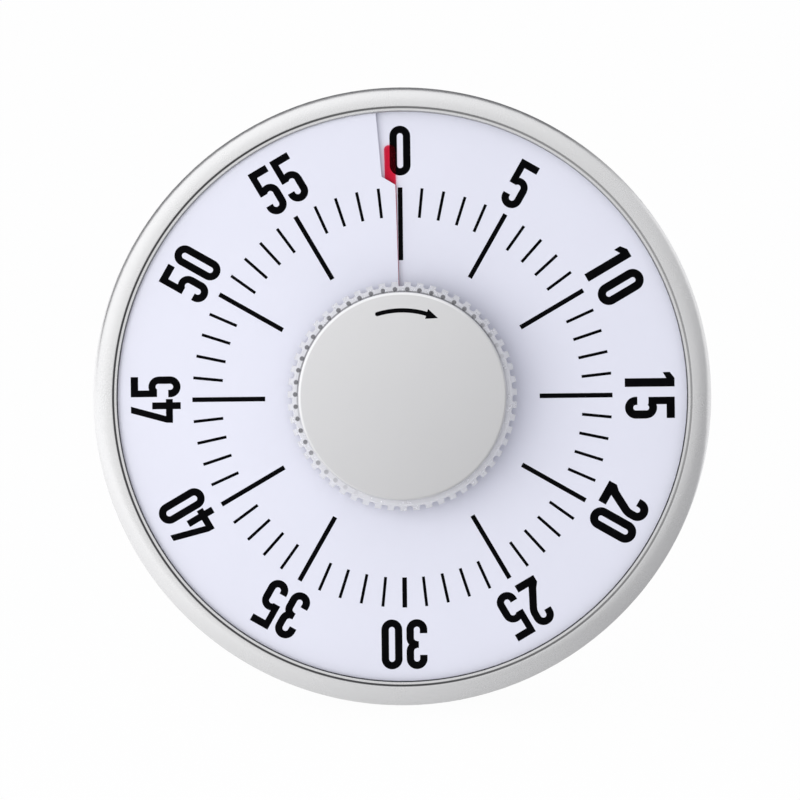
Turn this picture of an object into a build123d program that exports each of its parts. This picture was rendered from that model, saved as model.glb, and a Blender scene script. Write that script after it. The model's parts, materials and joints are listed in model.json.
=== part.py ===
from build123d import *
import os
from math import acos, cos, pi, radians, sin, sqrt, tan

# Visual countdown timer: a round dial with a slit at twelve o'clock, from which a knob draws a
# red film clockwise over the dial. It stands on two rubber feet and a hinged stand.
#
# Every piece is drawn in the face frame: the dial faces +Z, twelve o'clock is +Y, three o'clock
# is +X, and Z = 0 is the back of the case. place() then leans the whole timer back onto its
# stand. An angle that is called a clock angle runs clockwise from twelve o'clock. Millimetres.
#
# The dial is one turn of a shallow screw surface, so that its left lip stands over its right lip
# at the slit. The film is another turn of the same screw, half a lead away. Turned with the knob
# and lifted by the same lead, it threads through the slit and never touches the dial.

# ---------------------------------------------------------------- driving dimensions
LEAN = 15.0                 # degrees that the dial leans back from upright
FLOOR_GAP = 0.15            # the ring's lowest edge above the surface it stands on

RING_R = 90.0               # front ring, outer radius
RING_TALL = 20.0            # from its front face to the rear edge of its side wall
RING_WALL = 2.6
RING_FACE = 1.8             # thickness of its front band
BAND_W = 5.55               # width of the front band
BAND_FLAT = 0.3             # flat part of the band, before it curves away
BAND_FALL = 5.0             # depth of that curve
GROOVE_W = 0.4              # shadow groove between the band and the step
GROOVE_DEPTH = 0.5          # below the step
STEP_W = 1.25               # step inside the groove, over the dial's edge
STEP_DROP = 0.8
STEP_BEVEL = 0.4            # along the step's inner edge
CLIP_DEPTH = 1.1            # clips inside the ring that hold it on the case
CLIP_HALF_ANGLE = 4.0
CLIP_LIFT = 2.0             # clips above the ring's rear edge
CLIP_TALL = 2.5
CLIP_PLAY = 1.0             # degrees that a clip's window is wider at each end
CLIP_ANGLES = (0, 90, 180, 270)

LEAD = 1.6                  # rise of the dial and of the film over one clockwise turn
DIAL_T = 0.5
DIAL_GAP = 0.2              # highest point of the dial below the ring
DIAL_EDGE_GAP = 0.4
DIAL_HOLE_R = 14.0
DIAL_UNDERLAP = 8.0         # clock angle that the right lip reaches under the left lip
LIP_ANGLE = 1.25            # the left lip ends this far before twelve o'clock
NOTCH_ANGLE = 4.75          # and this far in the notch that clears the film's tab
NOTCH_CLEAR = 0.1           # the notch starts this far inside the film's edge
NOTCH_SLANT = 2.6           # and this much further out at its other side

FILM_INSET = 21.1           # the ring's step to the film's edge
FILM_T = 0.3
FILM_ANGLE = 1.05           # leading edge before twelve o'clock, at zero
TAB_W = 3.2
TAB_REACH = 11.5            # tip of the tab past the film's edge
TAB_CORNER = 1.3
TAB_INSET = 0.02            # tab behind the leading edge
HUB_R = 8.9                 # barrel that carries the film
HUB_FIT = 0.1
HUB_REACH = 0.6             # barrel past the film's lowest and highest edges
HUB_GAP = 0.6               # barrel above the carrier's floor
HUB_EDGE = 0.5

CARRIER_FLOOR_T = 2.0
CARRIER_SKIRT = 2.0         # the rim reaches this far behind the floor
CARRIER_RIM_T = 2.3
LEDGE_CLEAR = 1.2           # screw-shaped ledge under the dial, around the film's edge
LEDGE_INSET = 0.3           # the ledge keeps this far inside the carrier's ring
SEAT_GAP = 0.05             # dial above its ledge
CARRIER_RIBS = 12
CARRIER_RIB_TURN = 22.5     # clock angle of the first rib
CARRIER_RIB_T = 1.2
CARRIER_RIB_TALL = 2.5

FIT = 0.3                   # clearance between ring, case and carrier
RUNNING = 0.05              # radial clearance of a turning fit

KNOB_GAP = 0.9              # knob above the film and the film's barrel, at a full turn
KNOB_TALL = 11.0            # core and skirt, below the cap
SKIRT_R = 33.2              # clear skirt, over its flutes
SKIRT_BEVEL = 1.6
SKIRT_T = 3.6               # wall of the skirt
FLUTES = 55
FLUTE_W = 1.9
FLUTE_DEPTH = 1.3
FLUTE_CORNER = 0.6          # rounding of a flute's floor
CORE_WALL = 2.2
CORE_HUB_R = 7.0
CORE_RIBS = 6
CORE_RIB_T = 1.4
CORE_RIB_LIFT = 3.4         # ribs above the knob's lower edge
CORE_CROWN = 1.4            # core over the arbor's end
SKIRT_FIT = 0.1
CAP_INSET = 3.0             # cap's rim inside the skirt's
CAP_T = 3.0
CAP_EDGE = 0.7              # fillet of the cap's rim

ARBOR_R = 3.0
ARBOR_FLAT = 2.4            # from the axis to the flat that turns hub and knob
PIVOT_R = 1.2               # its lower pivot

CASE_STEP = 1.4             # rear case: its side inside the ring's, where they meet
CASE_DRAFT = 2.6            # its side narrows this much to the back
BACK_EDGE = 3.0             # rounded edge of the back
CASE_WALL = 2.4
SPIGOT_WALL = 2.0           # collar that goes up inside the ring
SHOULDER_GAP = 0.2          # ring above the case's shoulder

SCREW_INSET = 11.1          # four case screws inside the collar's outer face
SCREW_ANGLES = (45, 135, 225, 315)
SCREW_R = 1.2
SCREW_FIT = 0.05
SCREW_HEAD_R = 2.8
SCREW_HEAD_T = 1.8
SCREW_BORE_R = 3.4          # counterbore for the head
SCREW_SEAT = 12.0           # bottom of the counterbore above the back
SCREW_BITE = 0.6            # screw tips past the carrier's floor
BOSS_R = 5.0
CARRIER_BOSS = 4.0          # the carrier's screw bosses behind its floor
CROSS_W = 0.7               # cross of a screw head
CROSS_REACH = 1.3           # its width in radii of the head
CROSS_DEPTH = 0.8
MOVEMENT_HEAD_T = 0.9       # heads of the movement's screws

STAND_W = 25.0
STAND_T = 4.0
STAND_SKIN = 0.6            # folded stand below the back
STAND_ANGLE = 24.0          # how far it opens
STAND_PIVOT_Y = 32.0
STAND_PIVOT_Z = 2.8
STAND_BARREL_R = 2.5
STAND_CLEAR = 0.6
STAND_EDGE = 1.0            # rounding along its outer edges
STAND_PANEL = 1.4           # depth of the hollow in its inner face
STAND_FRAME = 3.2           # border left around that hollow
STAND_RIBS = 4
STAND_RIB_T = 1.4
RECESS_DEPTH = 6.0
RECESS_WALL = 1.8
STOP_GAP = 0.3              # heel of the stand to the recess floor when open
HINGE_PIN_R = 1.25
HINGE_PIN_FIT = 0.04
PAD_R = 2.4                 # rubber roll at the stand's tip
PAD_LENGTH = 6.0
PAD_X = 7.0
PAD_FIT = 0.05

FOOT_Z = 4.6                # rubber feet of the case, on both sides of the stand
FOOT_R = 2.6
FOOT_BOSS_T = 0.9           # wall of the boss around a foot
FOOT_TALL = 3.0
FOOT_PROUD = 1.3

CELL_R = 7.1                # AA cell
CELL_LENGTH = 49.2
CELL_NUB_R = 2.7
CELL_NUB = 1.3
CELL_EDGE = 0.7
BAY_GAP = 9.8               # battery bay beside the movement
CELL_GAP = 0.2              # cell above the door's seat
BAY_CLEAR = 0.7             # bay around the cell
BAY_END = 2.7               # room for a contact at each end
BAY_WALL = 1.4
CONTACT_T = 0.4
CONTACT_W = 9.0
CONTACT_LAP = 1.0           # its base past the bow on each side
CONTACT_BOW = 1.7           # how far the spring contact bows towards the cell

DOOR_LAP_X = 4.2            # door past the bay
DOOR_LAP_Y = 5.7
DOOR_T = 1.6
DOOR_PLAY = 0.1             # door under its seat, and tongues in their grooves
DOOR_FIT = 0.3
TONGUE = 0.8                # edges of the door that run in the case's grooves
TONGUE_T = 0.7
DOOR_GRIPS = 5
DOOR_GRIP_PITCH = 2.6
DOOR_GRIP_W = 1.2
DOOR_GRIP_DEPTH = 0.6
DOOR_GRIP_OFFSET = 18.0     # grip beside the middle of the bay
DOOR_GRIP_LENGTH = 18.0

MAGNET_R = 6.0
MAGNET_T = 3.0
MAGNET_X = 38.0
MAGNET_INSET = 19.0         # magnets from the edge of the flat back, along Y
MAGNET_FIT = 0.15
MAGNET_SKIN = 0.1           # magnet below the back
POCKET_WALL = 1.4

KEYHOLE_INSET = 17.0        # hole that a screw head enters, from the edge of the flat back
KEYHOLE_R = 4.2
KEYHOLE_RISE = 8.0          # up to the end of the slot
KEYHOLE_SLOT_R = 2.1
KEYHOLE_SPACE = 5.2         # depth for the screw head
KEYHOLE_ROOM = 1.0          # and room around it

BUZZER_X = 48.0
BUZZER_Y = -30.0
BUZZER_R = 12.0
BUZZER_T = 4.6
BUZZER_FIT = 0.3
BUZZER_HOLE_R = 1.2
SLOTS = 5
SLOT_PITCH = 4.0
SLOT_W = 1.7
SLOT_REACH = 9.5            # half the diameter of the slotted field

SWITCH_Y = 8.0
SWITCH_BODY_T = 4.7
SWITCH_TRAVEL = 2.5         # each way from the middle
SLIDER_W = 3.0
SLIDER_LENGTH = 5.0
SLIDER_FLANGE_W = 7.0
SLIDER_FLANGE_LENGTH = 13.0
SLIDER_FLANGE_T = 1.0
SLIDER_RIBS = 3
SLIDER_RIB_W = 0.5
SLIDER_RIB_PITCH = 1.4
SLIDER_SKIN = 0.1           # its ribs below the back
SWITCH_DISH_DEPTH = 1.1
SWITCH_DISH_W = 11.0
SWITCH_DISH_LENGTH = 18.0
SWITCH_DISH_CORNER = 2.0
SWITCH_FIT = 0.3
SLIDER_PLAY = 0.15          # flange between the case and the switch body
SWITCH_BODY_W = 8.0
SWITCH_BODY_LENGTH = 16.0

BOARD_GAP = 6.0             # circuit board beside the movement
BOARD_RISE = 2.0            # its middle above the switch
BOARD_W = 30.0
BOARD_LENGTH = 46.0
BOARD_T = 1.6
BOARD_POST_R = 2.4
BOARD_POST_INSET = 3.2
BOARD_CORNER = 2.0
CHIP = (7.5, 10.0, 1.8)     # width, length and thickness
CHIP_PLACE = (-4.0, 8.0)    # from the middle of the board
CAPACITOR_R = 3.0
CAPACITOR_TALL = 7.0
CAPACITOR_PLACE = (8.0, -6.0)
CRYSTAL_R = 1.5
CRYSTAL_TALL = 6.0
CRYSTAL_PLACE = (-8.0, -10.0)

PLATE_W = 62.0              # movement plates
PLATE_LENGTH = 54.0
PLATE_CORNER = 6.0
PLATE_T = 1.5
MOVEMENT_GAP = 1.8          # movement above the stand's recess
PILLAR_R = 2.6
PILLAR_INSET = 5.0
MODULE = 0.5                # clock train
WHEEL_T = 1.5
PINION_T = 2.5
STAFF_R = 0.75
CENTRE_TEETH = 48
FIRST_PINION_TEETH = 8
FIRST_WHEEL_TEETH = 40
SECOND_PINION_TEETH = 8
SECOND_WHEEL_TEETH = 40
ROTOR_TEETH = 10
TOOTH_SHARE = 0.40          # of the circular pitch, which leaves the backlash
ADDENDUM = 0.8              # in modules
DEDENDUM = 1.15
PRESSURE_ANGLE = 20.0
FLANK_START = 1.02          # lowest point of a flank, in root radii
STAGE = 3.4                 # from one wheel of the train to the next
WHEEL_GAP = 1.0             # second wheel above the rotor's magnet
CAM_LIFT = 0.3              # cam above the centre wheel
CAM_HEADROOM = 1.5          # and below the movement's front plate
PINION_REACH = 0.5          # a pinion stands this far past the wheel that it drives
FIRST_BEARING = 200.0       # direction from the centre to the first staff, from +X
SECOND_BEARING = 300.0      # from the first staff to the second
ROTOR_BEARING = 0.0         # from the second staff to the rotor
ROTOR_R = 3.2
ROTOR_T = 2.0
ROTOR_LIFT = 1.1            # magnet above the rear plate
ROTOR_GAP = 0.4
STATOR_T = 1.0
STATOR_W = 10.0
STATOR_LENGTH = 24.0
COIL_R = 4.0
COIL_LENGTH = 11.0
COIL_CORE_R = 1.4
COIL_FLANGE = 1.0
COIL_STEP = 0.5             # winding below the edge of its flanges
CLUTCH_R = 5.0
CLUTCH_T = 0.4
CLUTCH_RISE = 0.5
COLLAR_R = 4.2
COLLAR_T = 0.9
CAM_R = 7.0
CAM_T = 1.2
CAM_NOTCH = 1.2
CAM_GAP = 0.3
LEAF_T = 0.3
LEAF_W = 3.0
LEAF_LENGTH = 12.0

# ---------------------------------------------------------------- heights, from the back forwards
MOVEMENT_REAR = RECESS_DEPTH + RECESS_WALL + MOVEMENT_GAP
ROTOR_Z = MOVEMENT_REAR + PLATE_T + ROTOR_LIFT
SECOND_WHEEL_Z = ROTOR_Z + ROTOR_T + WHEEL_GAP
FIRST_WHEEL_Z = SECOND_WHEEL_Z + STAGE
CENTRE_WHEEL_Z = FIRST_WHEEL_Z + STAGE
CAM_Z = CENTRE_WHEEL_Z + WHEEL_T + CAM_LIFT
MOVEMENT_FRONT = CAM_Z + CAM_T + CAM_HEADROOM       # underside of the front plate
CARRIER_UNDER = MOVEMENT_FRONT + PLATE_T
CARRIER_FLOOR = CARRIER_UNDER + CARRIER_FLOOR_T
CARRIER_REAR = CARRIER_UNDER - CARRIER_SKIRT
BOSS_SPLIT = CARRIER_UNDER - CARRIER_BOSS
SCREW_TIP = CARRIER_FLOOR + SCREW_BITE
HUB_BOTTOM = CARRIER_FLOOR + HUB_GAP
FILM_LIFT = (LEAD - DIAL_T - FILM_T) / 2            # film above the dial's front, in the slit
DIAL_FRONT = HUB_BOTTOM + HUB_REACH + LEAD - FILM_LIFT      # at twelve o'clock, right of the slit
LEDGE_TOP = DIAL_FRONT - DIAL_T - SEAT_GAP
LEDGE_DEPTH = 1.5 * LEAD
LEDGE_FLAT = LEDGE_TOP - LEAD / 4                   # carrier's ring, within the ledge's depth
HUB_TOP = DIAL_FRONT + FILM_LIFT + FILM_T + HUB_REACH
RING_UNDER = DIAL_FRONT + LEAD + DIAL_GAP
RING_FRONT = RING_UNDER + RING_FACE
RING_REAR = RING_FRONT - RING_TALL
CLIP_BOTTOM = RING_REAR + CLIP_LIFT
CORE_HUB_BOTTOM = HUB_TOP + LEAD + KNOB_GAP
KNOB_BOTTOM = DIAL_FRONT + LEAD + FILM_LIFT + FILM_T + KNOB_GAP
KNOB_TOP = KNOB_BOTTOM + KNOB_TALL                  # the cap sits here
ARBOR_TOP = KNOB_TOP - CORE_CROWN
ARBOR_FLAT_BOTTOM = CARRIER_FLOOR + HUB_GAP / 2

# ---------------------------------------------------------------- radii and places worked out
BAND_R = RING_R - BAND_W                            # inner edge of the front band
GROOVE_R = BAND_R - GROOVE_W
STEP_R = GROOVE_R - STEP_W                          # the ring's opening over the dial
RING_BORE_R = RING_R - RING_WALL
SPIGOT_R = RING_BORE_R - FIT
DIAL_SEAT_R = SPIGOT_R - CARRIER_RIM_T
DIAL_R = DIAL_SEAT_R - DIAL_EDGE_GAP
FILM_R = STEP_R - FILM_INSET
TAB_R = FILM_R + TAB_REACH
NOTCH_R = FILM_R - NOTCH_CLEAR
LEDGE_INNER_R = FILM_R + LEDGE_CLEAR
LEDGE_BORE_R = LEDGE_INNER_R - LEDGE_INSET          # edge of the sunk floor
CORE_R = SKIRT_R - SKIRT_T
CAP_R = SKIRT_R - CAP_INSET
CASE_R = RING_R - CASE_STEP
BACK_R = CASE_R - CASE_DRAFT - BACK_EDGE            # edge of the flat back
SCREW_RADIUS = SPIGOT_R - SCREW_INSET
MAGNET_Y = BACK_R - MAGNET_INSET
KEYHOLE_Y = BACK_R - KEYHOLE_INSET
FLOOR_LEVEL = -RING_R * cos(radians(LEAN)) + RING_REAR * sin(radians(LEAN)) - FLOOR_GAP
FLOOR_NORMAL = (0, cos(radians(LEAN)), sin(radians(LEAN)))
FOOT_X = STAND_W / 2 + STAND_CLEAR + RECESS_WALL + FOOT_BOSS_T + FOOT_R
BAY_HALF_X = CELL_R + BAY_CLEAR
BAY_HALF_Y = CELL_LENGTH / 2 + BAY_END
BAY_X = -(PLATE_W / 2 + BAY_GAP + BAY_WALL + BAY_HALF_X)
CELL_Z = CASE_WALL + CELL_GAP + CELL_R
BAY_DEPTH = CELL_Z + CELL_R + BAY_CLEAR
DOOR_INNER_X = BAY_X + BAY_HALF_X + DOOR_LAP_X
DOOR_HALF_Y = BAY_HALF_Y + DOOR_LAP_Y
DOOR_SEAT = DOOR_T + DOOR_PLAY
BOARD_X = PLATE_W / 2 + BOARD_GAP + BOARD_W / 2
BOARD_Y = SWITCH_Y + BOARD_RISE
SWITCH_X = BOARD_X
SLIDER_FLANGE_Z = CASE_WALL + SLIDER_PLAY
SWITCH_BODY_Z = SLIDER_FLANGE_Z + SLIDER_FLANGE_T + SLIDER_PLAY
BOARD_Z = SWITCH_BODY_Z + SWITCH_BODY_T


def clock(radius, angle):
    """The face-frame point at a radius and a clock angle in degrees."""
    return radius * sin(radians(angle)), radius * cos(radians(angle))


def at(x, y, z, shape):
    """A shape moved to a point."""
    return Pos(x, y, z) * shape


def disc(radius, bottom, top, x=0, y=0):
    """A round cylinder between two heights."""
    return at(x, y, bottom, extrude(Circle(radius), top - bottom))


def slab(width, length, bottom, top, x=0, y=0, corner=0):
    """An upright block, with rounded corners when a corner radius is given."""
    outline = RectangleRounded(width, length, corner) if corner else Rectangle(width, length)
    return at(x, y, bottom, extrude(outline, top - bottom))


def turned(*points):
    """A solid of revolution about the dial's axis, from straight runs of (radius, height)."""
    return revolve(Plane.XZ * make_face(Polyline(*points, close=True)), Axis.Z)


def around(shape, angles):
    """Copies of a shape, turned to each clock angle about the dial's axis."""
    return [Rot(0, 0, -angle) * shape for angle in angles]


def screw_face(inner_r, outer_r, start, end, bottom, thickness):
    """A sheet on the timer's screw: start and end are clock angles, which may pass a full turn,
    and bottom is the height of its underside at twelve o'clock."""
    def edge(radius, height):
        helix = Edge.make_helix(LEAD, LEAD * (end - start) / 360, radius, (0, 0, 0), (0, 0, 1), 0, True)
        return Location((0, 0, height + LEAD * start / 360), (0, 0, 90 - start)) * helix

    under_in, under_out = edge(inner_r, bottom), edge(outer_r, bottom)
    over_in, over_out = edge(inner_r, bottom + thickness), edge(outer_r, bottom + thickness)
    sides = ((under_in, under_out), (over_in, over_out), (under_in, over_in), (under_out, over_out))
    faces = [Face.make_surface_from_curves(*pair) for pair in sides]
    for end_of in (0, 1):
        corners = [edge_.position_at(end_of) for edge_ in (under_in, under_out, over_out, over_in)]
        faces.append(Face(Wire.make_polygon(corners, close=True)))
    return Solid(Shell(faces))


def sector(inner_r, outer_r, start, end, bottom, top):
    """An upright wedge of a ring between two clock angles that are less than a turn apart."""
    middle = (start + end) / 2
    outline = make_face(
        Line(clock(inner_r, start), clock(outer_r, start))
        + ThreePointArc(clock(outer_r, start), clock(outer_r, middle), clock(outer_r, end))
        + Line(clock(outer_r, end), clock(inner_r, end))
        + ThreePointArc(clock(inner_r, end), clock(inner_r, middle), clock(inner_r, start))
    )
    return at(0, 0, bottom, extrude(outline, top - bottom))


# ---------------------------------------------------------------- ring, dial and carrier
def front_ring():
    """Silver ring: a band that falls away outwards, a shadow groove, a step over the dial's edge,
    a side wall and the clips that snap into the case."""
    flat_end = BAND_R + BAND_FLAT
    curve = EllipticalCenterArc((flat_end, RING_FRONT - BAND_FALL), RING_R - flat_end, BAND_FALL,
                                0, arc_size=90)
    step_top = RING_FRONT - STEP_DROP
    groove_floor = step_top - GROOVE_DEPTH
    outline = make_face(
        Polyline(
            (flat_end, RING_FRONT), (BAND_R, RING_FRONT), (BAND_R, groove_floor), (GROOVE_R, groove_floor),
            (GROOVE_R, step_top), (STEP_R + STEP_BEVEL, step_top), (STEP_R, step_top - STEP_BEVEL),
            (STEP_R, RING_UNDER), (RING_BORE_R, RING_UNDER), (RING_BORE_R, RING_REAR),
            (RING_R, RING_REAR), (RING_R, RING_FRONT - BAND_FALL),
        )
        + curve
    )
    ring = revolve(Plane.XZ * outline, Axis.Z)
    clip = sector(RING_BORE_R - CLIP_DEPTH, RING_BORE_R + RING_WALL / 2, -CLIP_HALF_ANGLE, CLIP_HALF_ANGLE,
                  CLIP_BOTTOM, CLIP_BOTTOM + CLIP_TALL)
    return ring + around(clip, CLIP_ANGLES)


def dial_plate():
    """Printed dial on the screw. Its right lip reaches under the left one, and the left lip is
    notched where the film's tab stands."""
    dial = screw_face(DIAL_HOLE_R, DIAL_R, -DIAL_UNDERLAP, 360 - LIP_ANGLE, DIAL_FRONT - DIAL_T, DIAL_T)
    beyond = DIAL_R + DIAL_EDGE_GAP
    notch = Polygon(
        clock(NOTCH_R, 0), clock(NOTCH_R, -LIP_ANGLE), clock(NOTCH_R + NOTCH_SLANT, -NOTCH_ANGLE),
        clock(beyond, -NOTCH_ANGLE), clock(beyond, 0), align=None,
    )
    between_lips = DIAL_FRONT + (LEAD - DIAL_T) / 2
    return dial - at(0, 0, between_lips, extrude(notch, LEAD, dir=(0, 0, 1)))


def dial_carrier():
    """Moulded tray behind the dial: a rim inside the ring, a screw-shaped ledge that carries the
    dial, and a sunk floor that leaves room for the film and bears the movement."""
    tray = turned(
        (ARBOR_R + RUNNING, CARRIER_UNDER), (ARBOR_R + RUNNING, CARRIER_FLOOR),
        (LEDGE_BORE_R, CARRIER_FLOOR), (LEDGE_BORE_R, LEDGE_FLAT),
        (DIAL_SEAT_R, LEDGE_FLAT), (DIAL_SEAT_R, RING_UNDER), (SPIGOT_R, RING_UNDER),
        (SPIGOT_R, CARRIER_REAR), (DIAL_SEAT_R, CARRIER_REAR), (DIAL_SEAT_R, CARRIER_UNDER),
    )
    ledge = screw_face(LEDGE_INNER_R, DIAL_SEAT_R - LEDGE_INSET, -DIAL_UNDERLAP, 360 - DIAL_UNDERLAP,
                       LEDGE_TOP - LEDGE_DEPTH, LEDGE_DEPTH)
    tray += ledge
    rib_inner = sqrt(PLATE_W ** 2 + PLATE_LENGTH ** 2) / 2
    rib_outer = DIAL_SEAT_R + CARRIER_RIM_T / 2
    rib = slab(CARRIER_RIB_T, rib_outer - rib_inner, CARRIER_UNDER - CARRIER_RIB_TALL, CARRIER_UNDER,
               0, (rib_inner + rib_outer) / 2)
    rib &= disc(SPIGOT_R - CARRIER_RIM_T / 2, CARRIER_REAR, CARRIER_UNDER)
    tray += around(rib, [CARRIER_RIB_TURN + step * 360 / CARRIER_RIBS for step in range(CARRIER_RIBS)])
    boss = disc(BOSS_R, BOSS_SPLIT, CARRIER_UNDER, 0, SCREW_RADIUS)
    tray += around(boss, SCREW_ANGLES)
    pilot = disc(SCREW_R + SCREW_FIT, BOSS_SPLIT, SCREW_TIP + SCREW_FIT, 0, SCREW_RADIUS)
    for hole in around(pilot, SCREW_ANGLES):
        tray -= hole
    for x, y in pillar_places():
        tray -= disc(SCREW_R + SCREW_FIT, CARRIER_UNDER, CARRIER_FLOOR, x, y)
    return tray


# ---------------------------------------------------------------- film
def time_film():
    """Red film on the screw, half a lead behind the dial, with a tab on its leading edge."""
    film = screw_face(HUB_R + HUB_FIT, TAB_R, -360 - FILM_ANGLE, -FILM_ANGLE,
                      DIAL_FRONT + FILM_LIFT, FILM_T)
    tab = RectangleRounded(TAB_W, 2 * (TAB_R - FILM_R) + TAB_W, TAB_CORNER)
    tab = Rot(0, 0, FILM_ANGLE) * Pos(-TAB_W / 2 - TAB_INSET, FILM_R - TAB_W / 2) * tab
    surplus = Circle(TAB_R + TAB_W) - Circle(FILM_R) - tab
    return film - at(0, 0, DIAL_FRONT - 2 * LEAD, extrude(surplus, 4 * LEAD))


def d_shape(radius, flat):
    """A round section with one flat, which drives what sits on it."""
    return Circle(radius) - Pos(flat + radius, 0) * Rectangle(2 * radius, 2 * radius)


def film_hub():
    """Barrel that carries the film and slides up the arbor's flat as it turns."""
    bore = d_shape(ARBOR_R + RUNNING, ARBOR_FLAT + RUNNING)
    hub = disc(HUB_R, HUB_BOTTOM, HUB_TOP)
    hub = chamfer(hub.edges().filter_by(GeomType.CIRCLE).group_by(Axis.Z)[-1], HUB_EDGE)
    return hub - at(0, 0, HUB_BOTTOM, extrude(bore, HUB_TOP - HUB_BOTTOM))


# ---------------------------------------------------------------- knob
def knob_core():
    """White core of the knob: a ribbed cup around the hub that the arbor fits."""
    core = turned(
        (0, CORE_HUB_BOTTOM), (CORE_HUB_R, CORE_HUB_BOTTOM), (CORE_HUB_R, KNOB_TOP - CORE_WALL),
        (CORE_R - CORE_WALL, KNOB_TOP - CORE_WALL), (CORE_R - CORE_WALL, KNOB_BOTTOM),
        (CORE_R, KNOB_BOTTOM), (CORE_R, KNOB_TOP), (0, KNOB_TOP),
    )
    reach = CORE_R - CORE_WALL / 2
    rib = slab(CORE_RIB_T, reach, KNOB_BOTTOM + CORE_RIB_LIFT, KNOB_TOP - CORE_WALL / 2, 0, reach / 2)
    core += around(rib, [step * 360 / CORE_RIBS for step in range(CORE_RIBS)])
    bore = d_shape(ARBOR_R + SCREW_FIT, ARBOR_FLAT + SCREW_FIT)
    return core - at(0, 0, CORE_HUB_BOTTOM, extrude(bore, ARBOR_TOP + SCREW_FIT - CORE_HUB_BOTTOM))


def knob_skirt():
    """Clear fluted ring around the core, bevelled at its top edge."""
    ring = turned(
        (CORE_R + SKIRT_FIT, KNOB_BOTTOM), (SKIRT_R, KNOB_BOTTOM), (SKIRT_R, KNOB_TOP - SKIRT_BEVEL),
        (SKIRT_R - SKIRT_BEVEL, KNOB_TOP), (CORE_R + SKIRT_FIT, KNOB_TOP),
    )
    flute = Pos(0, SKIRT_R) * RectangleRounded(FLUTE_W, 2 * FLUTE_DEPTH, FLUTE_CORNER)
    flutes = [Rot(0, 0, -step * 360 / FLUTES) * flute for step in range(FLUTES)]
    return ring - at(0, 0, KNOB_BOTTOM, extrude(Sketch() + flutes, KNOB_TOP - KNOB_BOTTOM))


def knob_cap():
    """Silver disc on the knob, with a rounded rim."""
    cap = disc(CAP_R, KNOB_TOP, KNOB_TOP + CAP_T)
    return fillet(cap.edges().filter_by(GeomType.CIRCLE).group_by(Axis.Z)[-1], CAP_EDGE)


def arbor():
    """Steel arbor from the movement's rear plate up into the knob, with its drive flat."""
    shaft = disc(ARBOR_R, MOVEMENT_REAR + PLATE_T + RUNNING, ARBOR_TOP)
    shaft -= at(0, 0, ARBOR_FLAT_BOTTOM, extrude(
        Circle(2 * ARBOR_R) - d_shape(2 * ARBOR_R, ARBOR_FLAT), ARBOR_TOP - ARBOR_FLAT_BOTTOM))
    shaft += disc(PIVOT_R, MOVEMENT_REAR, MOVEMENT_REAR + PLATE_T + RUNNING)
    return shaft + disc(COLLAR_R, CENTRE_WHEEL_Z - CLUTCH_RISE - COLLAR_T, CENTRE_WHEEL_Z - CLUTCH_RISE)


# ---------------------------------------------------------------- rear case
def case_body():
    """The case without its cut-outs: outer form minus inner form, and the outer form alone."""
    shoulder = RING_REAR - SHOULDER_GAP
    outer_line = make_face(
        Polyline((0, 0), (BACK_R, 0))
        + TangentArc((BACK_R, 0), (BACK_R + BACK_EDGE, BACK_EDGE), tangent=(1, 0))
        + Polyline(
            (BACK_R + BACK_EDGE, BACK_EDGE), (CASE_R, shoulder), (SPIGOT_R, shoulder),
            (SPIGOT_R, CARRIER_REAR), (0, CARRIER_REAR), (0, 0),
        )
    )
    outer = revolve(Plane.XZ * outer_line, Axis.Z)
    spigot_inner = SPIGOT_R - SPIGOT_WALL
    inner = turned(
        (0, CASE_WALL), (BACK_R - CASE_WALL / 2, CASE_WALL), (spigot_inner, shoulder - CASE_WALL),
        (spigot_inner, CARRIER_UNDER), (0, CARRIER_UNDER),
    )
    return outer - inner, outer


def stand_outline(grow):
    """Outline of the space that the stand folds and turns in, grown by a distance. It runs out
    through the case's lower edge, where a finger reaches the stand's tip."""
    top = STAND_PIVOT_Y + sqrt(stand_heel() ** 2 + (STAND_PIVOT_Z - STAND_SKIN) ** 2) + grow
    return Pos(0, (top - RING_R) / 2) * Rectangle(STAND_W + 2 * grow, top + RING_R)


def stand_axis_offset():
    """Height of the tip's centre line from the pivot, when the stand is folded."""
    return STAND_SKIN + STAND_T / 2 - STAND_PIVOT_Z


def stand_length():
    """From the pivot to the centre of the rubber rolls, so that they meet the floor when open."""
    lean, swing = radians(LEAN), radians(STAND_ANGLE - LEAN)
    drop = STAND_PIVOT_Y * cos(lean) + STAND_PIVOT_Z * sin(lean) - FLOOR_LEVEL - PAD_R
    return (drop - stand_axis_offset() * sin(swing)) / cos(swing)


def stand_heel():
    """How far the stand reaches past its pivot, so that its heel stops it when open."""
    inner_face = STAND_SKIN + STAND_T - STAND_PIVOT_Z
    room = RECESS_DEPTH - STOP_GAP - STAND_PIVOT_Z
    return (room - inner_face * cos(radians(STAND_ANGLE))) / sin(radians(STAND_ANGLE))


def keyhole():
    """Keyhole for a wall screw: a round hole with a slot above it."""
    slot = Pos(0, KEYHOLE_RISE / 2) * Rectangle(2 * KEYHOLE_SLOT_R, KEYHOLE_RISE)
    outline = Circle(KEYHOLE_R) + slot + Pos(0, KEYHOLE_RISE) * Circle(KEYHOLE_SLOT_R)
    return at(0, KEYHOLE_Y, 0, extrude(outline, CASE_WALL))


def sound_slots():
    """Row of slots over the buzzer, cut to the outline of a circle."""
    slots = []
    for step in range(SLOTS):
        off = (step - (SLOTS - 1) / 2) * SLOT_PITCH
        length = 2 * sqrt(SLOT_REACH ** 2 - off ** 2)
        slots.append(at(BUZZER_X + off, BUZZER_Y, 0, extrude(SlotOverall(length, SLOT_W, 90), CASE_WALL)))
    return slots


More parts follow.
